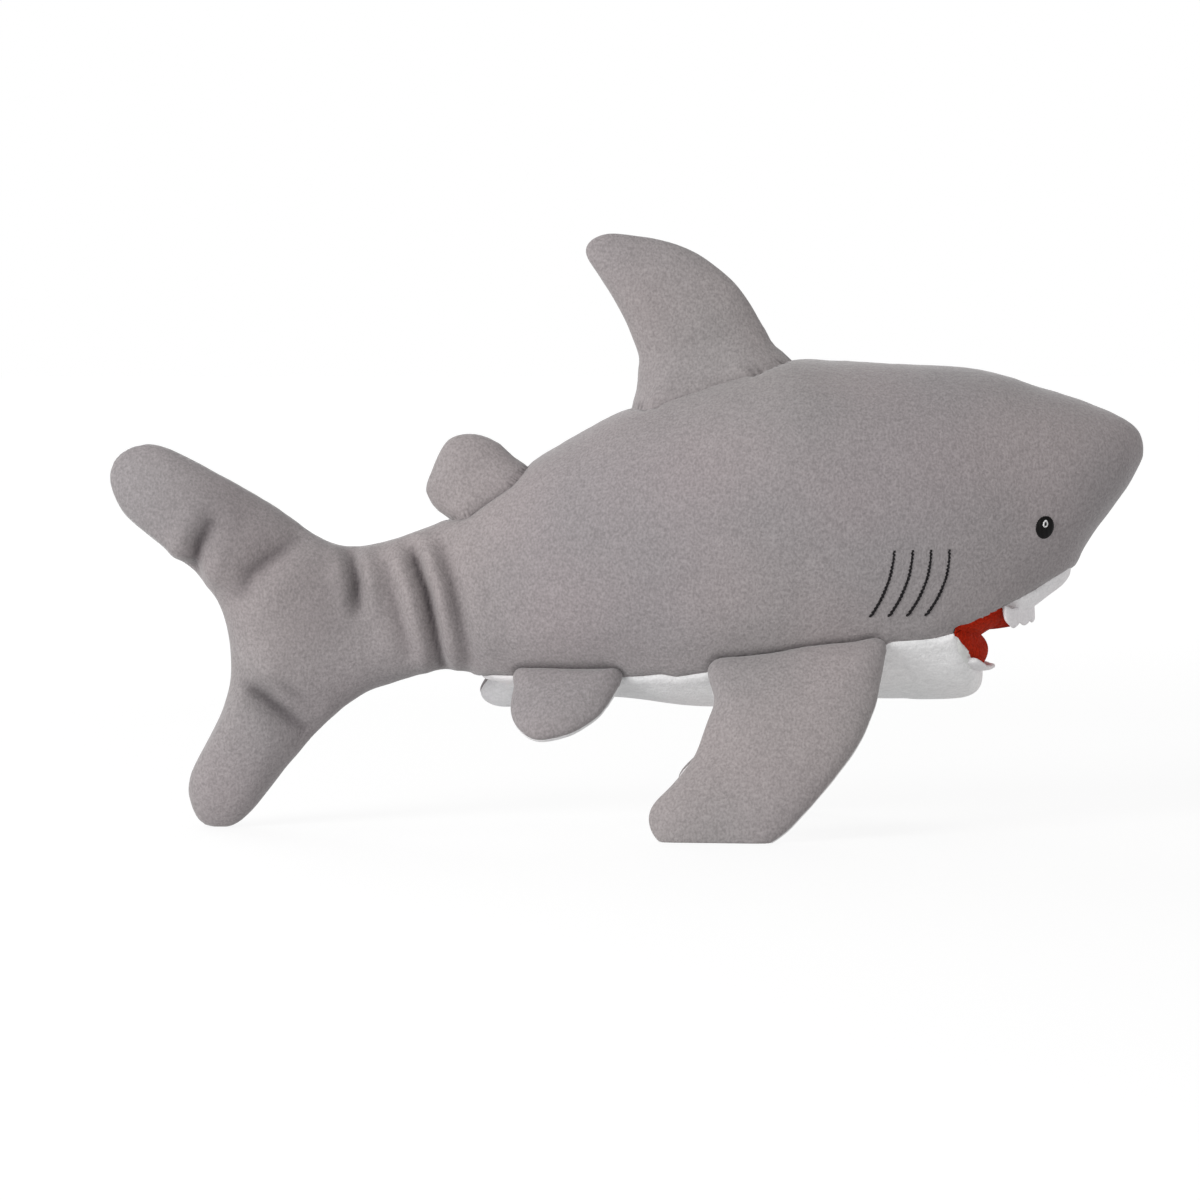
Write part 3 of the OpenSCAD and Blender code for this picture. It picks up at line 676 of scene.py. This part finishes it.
def mouth_hollow(points, normals):
    """How far the snout's underside sinks to make room for the palate's lining."""
    x, y, z = points.T
    roof = ramp(z, MOUTH_Z, MOUTH_Z + 0.5) * ramp(x, HINGE[0], HINGE[0] + 1.5)
    below_seam = ramp(seam_height(x) - z, 0.2, 0.9)
    at_side = ramp(x, PALATE_BACK + 1.5, PALATE_BACK)
    oval = ((x - HINGE[0]) / (PALATE_FRONT - HINGE[0])) ** 2 + (y / mouth_half_width()) ** 2
    inside = ramp(oval, 0.95, 0.7) * (normals[:, 2] < -0.2) * (z < roof_height(x) + 3)
    return roof * below_seam * np.maximum(1.7 * at_side, 2.2 * inside)


def core():
    """The closed skin of body, jaw and tail in one, with its seams, creases and stuffing."""
    main, body = trunk()
    shape = outline("tail_panel_right", "tail_panel_left", 240, 30, 0.8)
    tail = pillow(shape["centre"], shape["rim"], shape["normal"], shape["half"], shape["half"], 2.3, 30)[:2]
    points, triangles = remeshed([main, chin(body), tail])
    x, z = points[:, 0], points[:, 2]
    mouth = ramp(x, HINGE[0] - 6, HINGE[0] - 2) * ramp(z, MOUTH_Z + 12, MOUTH_Z + 8)
    points = smoothed(points, triangles, 12, weight=1 - 0.75 * mouth)
    stem = bump(points[:, 0] - STEM[0] + 1, 15)
    points = smoothed(points, triangles, 60, weight=stem)
    points += normals_of(points, triangles) * 0.45 * stem[:, None]
    normals = normals_of(points, triangles)
    x, y, z = points.T
    seam = z - seam_height(x)
    steep = np.maximum(np.sqrt(np.maximum(1 - normals[:, 2] ** 2, 0.02)), 0.2)
    d = np.abs(seam) / steep
    lumps = 0.42 * waves(points, 19, 1) + 0.16 * waves(points, 8, 2)
    pucker = waves(np.column_stack([x, 0 * x, 0 * x]), 2.6, 3)
    sink = 0.42 * bump(d, 0.55) - 0.16 * bump(d - 2.2, 1.5) + 0.13 * pucker * bump(d, 3.0)
    back = 0.3 * bump(y, 0.5) + 0.1 * pucker * bump(y, 2.5)
    back = np.where((seam > 0) & (np.abs(normals[:, 1]) < 0.6), back, 0)
    sink = sink + back + creased(points) + mouth_hollow(points, normals)
    behind = box("second_dorsal_filling")[0][0]
    sink += 0.7 * bump(x - behind, 5) * ramp(normals[:, 2], 0.3, 0.9)
    at_snout = bump(np.hypot(x - SNOUT[0], z - SNOUT[1]), 4.5) * ramp(z, MOUTH_Z + 4, MOUTH_Z + 6)
    sink -= SNOUT_SWELL * at_snout
    points = points + normals * (lumps - sink)[:, None]
    points[:, 2] = np.maximum(points[:, 2], 0)
    return points, triangles


# --- pieces
CORE_POINTS, CORE_TRIANGLES = core()
CORE_TREE = tree_of(CORE_POINTS, CORE_TRIANGLES)


def signed_depth(points):
    """Height of each point above the core's skin, and the skin's place and normal there."""
    heights, places, ways = [], [], []
    for p in points.tolist():
        place, way, _, distance = CORE_TREE.find_nearest(Vector(p))
        side = (Vector(p) - place).dot(way)
        heights.append(math.copysign(distance, side))
        places.append(place)
        ways.append(way)
    return np.array(heights), np.array(places), np.array(ways)


def piece(name, points, faces, slot, body, replaces, fill=None, painted_shade=None):
    """A finished piece from points in millimetres, in its slot's material.

    body is the body that it rides on. Given two bodies and the places between them instead, it stays where
    it is and rides on no body. fill, how tightly it is stuffed, is not used. The last argument is painted
    shade: how much darker each point's colour is made, as at the bottom of a fold, from 0 to 1.
    """
    mesh = bpy.data.meshes.new(name)
    mesh.from_pydata((points * MM).tolist(), [], faces.tolist())
    mesh.polygons.foreach_set("use_smooth", np.ones(len(mesh.polygons), bool))
    mesh.materials.append(MATERIALS[slot])
    # painted shade, stored on the points for the pile's material to darken the colour with
    if painted_shade is not None:
        layer = mesh.attributes.new("painted_shade", "FLOAT", "POINT")
        layer.data.foreach_set("value", np.clip(painted_shade, 0, 1))
    mesh.update()
    obj = linked(name, mesh)
    if isinstance(body, str):
        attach(obj, body)
    else:
        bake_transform(obj)
    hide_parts(*replaces)


# Painted shade: broad places on the tail painted darker to stand in for their shading; x and z from the stem's
# line, radius, strength
PAINTED_TAIL_SHADE = [(-33, 18, 10, 0.33), (-13, 3, 9, 0.29), (-20, -6, 8, 0.1)]


def distances(feet, points):
    """How far each point is from the nearest of the feet's."""
    return np.array([feet.find(p)[2] for p in points.tolist()])


def paint_shade_at(points, feet):
    """Painted shade at each point, from 0 to 1: along the fins' sewing lines, on the tail's shaded places and in
    creases.
    """
    value = 0.75 * bump(distances(feet, points), 0.55)
    for x, z, radius, strength in PAINTED_TAIL_SHADE:
        value += strength * bump(np.hypot(points[:, 0] - STEM[0] - x, points[:, 2] - STEM[2] - z), radius)
    for strength, d, width in crease_marks(points):
        value += 0.3 * strength * bump(d, 0.5 * width) + 0.06 * strength * bump(d, width)
    return value


def body_pieces(points, triangles, feet):
    """The side panels, snout, belly and stuffing, all cut from the core's skin."""
    normals = normals_of(points, triangles)
    seam = points[:, 2] - seam_height(points[:, 0])
    upper, lower = cut(points, normals, triangles, seam)
    over_stem = ("body", "tail", (STEM + [9, 0, 0]) * MM, (STEM + [-9, 0, 0]) * MM)
    left, right = cut(*upper, upper[0][:, 1])
    for side, part in (("right", right), ("left", left)):
        panel = backed(*part)
        stands_for = [f"side_panel_{side}", f"tail_panel_{side}"]
        # the side panels carry painted shade in creases, along the fins' sewing lines and on the tail
        piece(f"side_panel_{side}_pile", *panel, "grey_pile", over_stem, stands_for, 0.85,
              paint_shade_at(panel[0], feet))
    x, _, z = lower[0].T
    in_front_of_mouth = (x - HINGE[0]) * 0.342 + (z - MOUTH_Z + 0.15) * 0.94
    snout, belly = cut(*lower, in_front_of_mouth)
    piece("snout_underside_pile", *backed(*snout), "white_pile", "body", ["snout_underside"], 0.8)
    turn = [np.array([HINGE[0] + reach, 0, HINGE[2] - 8]) * MM for reach in (-11, 1)]
    piece("belly_and_chin_pile", *backed(*belly), "white_pile", ("body", "jaw", *turn),
          ["belly_panel", "chin_panel"], 0.85)
    # the stuffing is left out of the jaw, which moves
    inner = smoothed(points - normals * 2.4, triangles, 4)
    in_jaw = (inner[:, 2] < MOUTH_Z + 0.1 * (inner[:, 0] - HINGE[0])) & (inner[:, 0] > HINGE[0] - 4)
    inner[in_jaw, 0] = HINGE[0] - 4
    piece("body_and_tail_stuffing", inner, triangles, "fibre", over_stem,
          ["body_filling", "tail_filling"], 0.85)


SHALLOW_ROOT = 4  # a fin with a deeper root goes down until all of its base is under the skin


def fin(names, slots, body, joint_name, rounding, grow=0.0, length=1.0, slide=0.0,
        root=2.4, flare=0.1, boxy=1.5, front=(0, 4), rear=(0, 9), shift=(0, 0)):
    """A stuffed fin of two faces, sewn on along its hinge line. Gives the points where it meets the skin.

    Against the CAD's fin: grow widens its outline, length scales it, slide moves it forward. At its base:
    root is how deep it goes into the body, flare how much thicker and boxy how much squarer it gets, front
    and rear how far its edges spread and how high up that starts.
    """
    shape = outline(names[0], names[1], 200, rounding, grow, shift)
    centre, normal = shape["centre"], shape["normal"]
    place, axis = joint(joint_name)
    out = unit(np.cross(axis, normal))
    if (centre - place) @ out < 0:
        out = -out
    along = unit(np.cross(out, normal))
    if along[0] < 0:
        along = -along
    rootward = np.clip(-unit(shape["rim"] - centre) @ out, 0, 1)

    def spread(share, settings, v):
        """How far an edge moves outwards near the fin's base."""
        reach, start = settings
        return reach * share * np.clip(1 - v / start, 0, 1.2) ** 2

    def stuffed(inset, depth):
        """The fin's form, smaller by inset and going depth into the body."""
        rays = shape["rim"] - centre
        rim = centre + rays * (1 - inset / np.linalg.norm(rays, axis=1, keepdims=True))
        half = shape["half"] - inset
        points, faces, split = pillow(centre, rim, normal, half, half, 2.3 + boxy * rootward ** 2)
        v = (points - place) @ out
        points = points + out * (v * (length - 1))[:, None] + along * slide
        v = v * length
        points = points - out * (np.clip(6 - v, 0, 6) * root / 6)[:, None]
        v = (points - place) @ out
        w = (points - centre) @ normal
        u = (points - centre) @ along
        thicker = w * flare * np.clip(1 - v / 9, 0, 1.1) ** 2
        ahead = spread(np.maximum(u, 0) / u.max(), front, v)
        behind = spread(np.minimum(u, 0) / -u.min(), rear, v)
        points = points + normal * thicker[:, None] + along * (ahead + behind)[:, None]
        if root > SHALLOW_ROOT:
            floating = np.maximum(signed_depth(points)[0] + 1, 0) * ramp(v, 0.0, -1.5)
            points = points - out * floating[:, None]
        lumps = 0.32 * waves(points, 10, 5) + 0.12 * waves(points, 4.5, 6)
        groove = 0.15 * bump((points - centre) @ normal, 0.5) * (v > 2)
        points = points + normals_of(points, faces) * (lumps - groove)[:, None]
        height, skin, way = signed_depth(points)
        sunk = height < -depth
        points[sunk] = (skin - way * depth)[sunk]
        points[:, 2] = np.maximum(points[:, 2], 0)
        return points, faces, split, height

    points, faces, split, height = stuffed(0, 1.3)
    normals = normals_of(points, faces)
    over_base = ("body", body, (place - out * 1.5) * MM, (place + out * 5) * MM)
    for node, slot, side in zip(names, slots, (faces[:split], faces[split:])):
        # painted shade along the line where the fin's face meets the skin
        painted_shade = 0.6 * bump(height[np.unique(side)], 0.2)
        sheet = backed(*taken(points, normals, side))
        piece(f"{node}_pile", *sheet, slot, over_base, [node], 0.7, np.tile(painted_shade, 2))
    piece(f"{names[2]}_fibre", *stuffed(1.7, 2.6)[:2], "fibre", over_base, [names[2]], 0.7)
    return points[np.abs(height) < 0.6]


# How each fin differs from its CAD solids
TOP_FINS = {
    "dorsal": {"rounding": 60, "grow": 0.2, "root": 12, "flare": 0.6, "boxy": 0.0, "front": (1.3, 4),
               "rear": (3.2, 9), "shift": (2, -5.5)},
    "second_dorsal": {"rounding": 160, "grow": 0.1, "length": 0.96, "root": 8, "flare": 0.5, "boxy": 0.0,
                      "front": (0.5, 3), "rear": (-1.3, 4)},
}
LOWER_FINS = {
    "pectoral_right": {"rounding": 240, "grow": 0.1, "length": 1.02, "slide": -0.8},
    "pectoral_left": {"rounding": 240, "grow": -0.2, "length": 0.98},
    "pelvic_right": {"rounding": 120, "grow": 0.3, "length": 0.96},
    "pelvic_left": {"rounding": 120, "length": 0.7, "slide": -1.2},
}


def all_fins():
    """Every fin; gives the points where they touch the body."""
    feet = []
    for name, settings in TOP_FINS.items():
        stem = "dorsal_fin" if name == "dorsal" else name
        names = [f"{stem}_{part}" for part in ("right_face", "left_face", "filling")]
        feet.append(fin(names, ("grey_pile", "grey_pile"), f"{name}_fin", f"{name}_lean", **settings))
    for name, settings in LOWER_FINS.items():
        kind, side = name.split("_")
        names = [f"{name}_{part}" for part in ("outer", "under", "filling")]
        feet.append(fin(names, ("grey_pile", "white_pile"), f"{kind}_fin_{side}", f"{kind}_flap_{side}",
                        **settings))
    return np.vstack(feet)


def pad(node, rim, way, bulge, fullness, body):
    """A red lining stuffed so that it swells out of its rim. Its rim follows the skin around it."""
    rim = np.array(rim)
    _, skin, normal = signed_depth(rim)
    rim = skin - normal * 0.3
    points, faces, _ = pillow(rim.mean(0), rim, way, bulge, 1.0, fullness, 20)
    points = points + normals_of(points, faces) * (0.22 * waves(points, 5, 8))[:, None]
    piece(f"{node}_fleece", points, faces, "red_fleece", body, [node], 0.8)


def palate_rim(degrees):
    """The upper lining's edge: -90 is its right end, 0 the front and 90 its left end."""
    t = math.radians(degrees)
    x = HINGE[0] + (PALATE_FRONT - HINGE[0]) * math.cos(t)
    roof = roof_height(x)
    seam = float(seam_height(np.array([x]))[0])
    beside_teeth = min(1, max(0, (abs(degrees) - PALATE_TURN + 8) / 16))
    return [x, mouth_half_width() * math.sin(t), roof + (seam - roof) * beside_teeth]


def linings():
    """The palate's and the jaw's linings, which meet along a line between the mouth's corners."""
    half = mouth_half_width()
    across = np.linspace(half, -half, 24)[1:-1]
    upper = [palate_rim(a) for a in np.linspace(-90, 90, 60)]
    lower = [lip(a) + [0.4, 0, 0.1] for a in np.linspace(-1, 1, 60)]
    down = unit(np.array([ROOF_SLOPE, 0, -1.0]))
    out = unit(np.array([LIP_DROP, 0, LIP_REACH]))
    for node, rim, below, way, bulge, edges, body in (
        ("palate_lining", upper, 0.1, down, 3.1, (3.4, 1.7), "body"),
        ("jaw_lining", lower, 0.3, out, 4.7, (2.4, 4.4), "jaw"),
    ):
        hinge = [[HINGE[0], y, MOUTH_Z - below] for y in across]
        fullness = [edges[0]] * len(rim) + [edges[1]] * len(hinge)
        pad(node, rim + hinge, way, bulge, fullness, body)


def teeth(node, root, tip, back, count, body):
    """A felt strip with rounded zig-zag teeth; root, tip and back are lines over 0 to 1."""
    steps = count * 14
    across = 7  # steps from root to tip
    rows = []
    for i in range(steps + 1):
        s = i / steps
        bite = abs(math.sin(math.pi * count * s)) ** 0.55
        r, t, b = root(s), tip(s), back(s)
        reach = 0.72 + 0.28 * bite
        front = [r + t * reach * k / across for k in range(across + 1)]
        rear = [p + b * (1 - 0.35 * (k / across) ** 2) for k, p in enumerate(front)]
        edge = front[-1] + b * 0.35 + t * 0.05
        rows.append(front + [edge] + rear[::-1])
    points, faces = loft(rows)
    piece(f"{node}_felt", smoothed(points, faces, 2, 0.4), faces, "white_felt", body, [node])


def all_teeth():
    def turn(s):
        return -PALATE_TURN + 2 * PALATE_TURN * s

    def outward(s):
        t = math.radians(turn(s))
        return unit(np.array([math.cos(t), math.sin(t), 0]))

    def upper_root(s):
        return np.array(palate_rim(turn(s))) + outward(s) * 0.7 + [0, 0, 1.9]

    def upper_tip(s):
        return np.array([0.2, 0, -3.8 - 0.5 * math.sin(math.pi * s)])

    teeth("upper_teeth", upper_root, upper_tip, lambda s: outward(s) * -1.0, 7, "body")

    def lower_root(s):
        return lip(-0.74 + 1.48 * s) + [-0.7, 0, 0.3]

    teeth("lower_teeth", lower_root, lambda s: np.array([3.2, (s - 0.5) * 1.6, -0.1]),
          lambda s: np.array([0.1, 0, -1.3]), 5, "jaw")


def skin_point(x, z, side):
    """The core's skin at x, z on one side, with its normal. side is -1 for the right."""
    place, way, _, _ = CORE_TREE.ray_cast(Vector((x, side * 60, z)), Vector((0, -side, 0)))
    return np.array(place), np.array(way)


def skin_normal(x, z, side, reach=1.5):
    around = [skin_point(x + dx, z + dz, side)[1] for dx in (-reach, 0, reach) for dz in (-reach, 0, reach)]
    return unit(np.mean(around, axis=0))


def dome(place, normal, width, height):
    """A low oval dome of satin stitches on the skin, its top leaning to the front."""
    lift, rings, count = 0.7, 12, 96
    stitches, stitch_depth = 32, 0.02
    side = unit(np.cross([0, 0, 1.0], normal))
    up = unit(np.cross(normal, side) + [0.22, 0, 0])
    side = unit(np.cross(up, normal))
    points = []
    for i in range(1, rings + 1):
        s = math.sin(math.pi / 2 * i / rings)
        for k in range(count):
            t = 2 * math.pi * k / count
            rough = 1 + stitch_depth * math.sin(stitches * t)
            flat = side * (width / 2 * s * rough * math.cos(t)) + up * (height / 2 * s * rough * math.sin(t))
            points.append(place + flat + normal * (lift * math.sqrt(max(0, 1 - s * s)) - 0.35 * s ** 6))
    points.append(place + normal * lift)
    points.append(place - normal * 0.4)
    n = rings * count
    faces = np.vstack([grid_faces(rings, count, True), fan(n, 0, count), fan(n + 1, n - count, count, True)])
    points = np.array(points)
    return points, outwards(points, faces)


def eyes():
    for side, word in ((-1, "right"), (1, "left")):
        low, high = box(f"eye_{word}")
        centre = (low + high) / 2
        place, _ = skin_point(centre[0], centre[2], side)
        normal = skin_normal(centre[0], centre[2], side, 2.5)
        size = high - low
        eye = dome(place, normal, size[0] * 1.26, size[2] * 1.04)
        piece(f"eye_{word}_embroidery", *eye, "black_embroidery", "body", [f"eye_{word}"])
        low, high = box(f"eye_glint_{word}")
        rise = (low + high)[2] / 2 - centre[2]
        loop = []
        for t in np.linspace(0, 2 * math.pi * 1.03, 30):
            spot = [0.45 * math.sin(t) * (1 - 0.25 * math.cos(t)) - 0.3, 0, rise + 0.6 * math.cos(t)]
            loop.append(place + spot - normal * (np.array(spot) @ normal) + normal * 0.66)
        glint = cord_mesh(loop, 0.17)
        piece(f"eye_glint_{word}_embroidery", *glint, "white_embroidery", "body", [f"eye_glint_{word}"])


def cord_mesh(line, radius, sides=8):
    """A thin round thread along a line of points."""
    line = np.array(line)
    way = unit(np.gradient(line, axis=0))
    side = unit(np.cross(way, [0.3, 0.9, 0.1]))
    other = np.cross(way, side)
    a = 2 * math.pi * np.arange(sides) / sides
    radius = np.broadcast_to(radius, len(line))
    rows = [p + r * (np.outer(np.cos(a), s) + np.outer(np.sin(a), o))
            for p, r, s, o in zip(line, radius, side, other)]
    return loft(rows)


def islands(points, triangles):
    """The separate parts of a mesh, as lists of its different points."""
    points, index = np.unique(np.round(points, 2), axis=0, return_inverse=True)
    triangles = index.reshape(-1)[triangles]
    label = np.arange(len(points))
    while True:
        lowest = label[triangles].min(1)
        new = label.copy()
        for k in range(3):
            np.minimum.at(new, triangles[:, k], lowest)
        if (new == label).all():
            return [points[label == k] for k in np.unique(label)]
        label = new


def gill_lines(word):
    """Each gill line as x over z, read off its CAD solid, with its lowest and highest z."""
    lines = []
    for part in islands(*cad_mesh(f"gill_stitches_{word}")):
        x, z = part[:, 0], part[:, 2]
        lines.append((np.polyfit(z, x, 2), z.min(), z.max()))
    return lines


def gills():
    for side, word in ((-1, "right"), (1, "left")):
        strands = []
        for fit, low, high in gill_lines(word):
            for turn in (0, math.pi):
                line = []
                for i, h in enumerate(np.linspace(high, low, 64)):
                    across = np.polyval(fit, h) + 0.12 * math.sin(i * 1.9)
                    place, _ = skin_point(across, h, side)
                    if i % 6 == 0:
                        normal = skin_normal(across, h, side, 1.0)
                    a = i * 0.8 + turn
                    line.append(place + [0.13 * math.cos(a), 0, 0] + normal * (0.12 * math.sin(a) - 0.04))
                strands.append(cord_mesh(line, np.linspace(0.15, 0.24, 64)))
        node = f"gill_stitches_{word}"
        piece(f"{node}_thread", *joined(strands), "dark_thread", "body", [node])


def closing():
    """The ladder stitches that close the left belly seam where the filling went in."""
    low, high = box("closing_stitch")
    stitches = []
    for x in np.arange(low[0] + 1, high[0] - 0.5, 2.4):
        z = float(seam_height(np.array([x]))[0])
        line = []
        for t in np.linspace(-1, 1, 9):
            place, normal = skin_point(x + 0.35 * t, z + 0.95 * t, 1)
            line.append(place + normal * (0.12 - 0.5 * t ** 4))
        stitches.append(cord_mesh(line, 0.14, 6))
    piece("closing_stitch_thread", *joined(stitches), "sewing_thread", "body", ["closing_stitch"])


def tree_of_points(points):
    """A search tree for the nearest of these points."""
    tree = KDTree(len(points))
    for i, p in enumerate(points.tolist()):
        tree.insert(p, i)
    tree.balance()
    return tree


def near_fins(points, triangles, feet):
    """Sinks the skin a little where the fins are sewn on."""
    normals = normals_of(points, triangles)
    return points - normals * (0.5 * bump(distances(feet, points), 0.9))[:, None]


def aimed(name, data, place, target):
    """A camera or a lamp at a place, turned to the target."""
    obj = linked(name, data)
    obj.location = place
    obj.rotation_euler = (target - Vector(place)).to_track_quat("-Z", "Y").to_euler()
    return obj


def camera():
    """Side view from a little above, with a long lens."""
    target = Vector((-0.0056, 0, 0.0454))
    distance, wide, up = 1.2, 0.24, math.radians(3)
    data = bpy.data.cameras.new("camera")
    data.sensor_width = 36
    data.lens = 36 * distance / wide
    data.clip_start = 0.05
    place = target + Vector((0, -math.cos(up), math.sin(up))) * distance
    bpy.context.scene.camera = aimed("camera", data, place, target)


# Light of the sky, the horizon and from below, and the floor's glow near the toy and far away
AMBIENT = 0.44
HORIZON = 1.0
BELOW = 0.48
GLOW_NEAR = 0.84
GLOW_FAR = 0.903
FLOOR = 6.0
AIM = Vector((0, 0, 0.05))


def area_light(name, place, size, power):
    """A square lamp of this size in metres and power in watts, aimed at the toy."""
    data = bpy.data.lights.new(name, "AREA")
    data.size = size
    data.energy = power
    aimed(name, data, place, AIM)


def studio():
    """A soft key from the upper left and a little light from all round."""
    world = bpy.data.worlds.new("studio")
    world.use_nodes = True
    tree = world.node_tree
    background = tree.nodes["Background"]
    place = tree.nodes.new("ShaderNodeTexCoord")
    parts = tree.nodes.new("ShaderNodeSeparateXYZ")
    height = tree.nodes.new("ShaderNodeMapRange")
    height.inputs["From Min"].default_value = -1.0
    tree.links.new(place.outputs["Generated"], parts.inputs["Vector"])
    tree.links.new(parts.outputs["Z"], height.inputs["Value"])
    sky = ramp_node(tree, height.outputs["Result"], (BELOW,) * 3, (AMBIENT,) * 3, 0.3, 0.65)
    for edge in (0.42, 0.565):
        sky.color_ramp.elements.new(edge).color = (HORIZON, HORIZON, HORIZON, 1)
    tree.links.new(sky.outputs["Color"], background.inputs["Color"])
    bpy.context.scene.world = world
    area_light("key", (-0.62, -0.68, 0.42), 0.4, 4.6)
    area_light("side", (-0.5, -0.4, 0.12), 0.3, 0.8)
    area_light("top", (-0.2, 0.3, 1.3), 0.9, 1.2)
    area_light("rim", (-0.6, 1.3, 0.6), 0.8, 4)
    pale_floor()
    bpy.context.scene.view_settings.view_transform = "Standard"


def pale_floor():
    """A floor that glows a little more far away, so that no edge shows against the sky."""
    corners = [(-FLOOR, -FLOOR, 0), (FLOOR, -FLOOR, 0), (FLOOR, FLOOR, 0), (-FLOOR, FLOOR, 0)]
    mesh = bpy.data.meshes.new("floor")
    mesh.from_pydata(corners, [], [(0, 1, 2, 3)])
    floor = linked("floor", mesh)
    material, principled = shader("floor", (0.16, 0.16, 0.16), 0.9, 0)
    principled.inputs["Emission Color"].default_value = (1, 1, 1, 1)
    nodes, links = material.node_tree.nodes, material.node_tree.links
    ground = nodes.new("ShaderNodeTexCoord")
    distance = nodes.new("ShaderNodeVectorMath")
    distance.operation = "LENGTH"
    glow = nodes.new("ShaderNodeMapRange")
    glow.inputs["From Min"].default_value = 0.35
    glow.inputs["From Max"].default_value = 1.1
    glow.inputs["To Min"].default_value = GLOW_NEAR
    glow.inputs["To Max"].default_value = GLOW_FAR
    links.new(ground.outputs["Object"], distance.inputs[0])
    links.new(distance.outputs["Value"], glow.inputs["Value"])
    links.new(glow.outputs["Result"], principled.inputs["Emission Strength"])
    mesh.materials.append(material)
    floor.visible_diffuse = False
    floor.visible_shadow = False


camera()
studio()
FEET = tree_of_points(all_fins())
body_pieces(near_fins(CORE_POINTS, CORE_TRIANGLES, FEET), CORE_TRIANGLES, FEET)
linings()
all_teeth()
eyes()
gills()
closing()
for row in frame["record"]["subparts"]:
    node = frame["nodes"][row["node"]]
    node.data.materials.clear()
    node.data.materials.append(MATERIALS[row["material_slot"]])
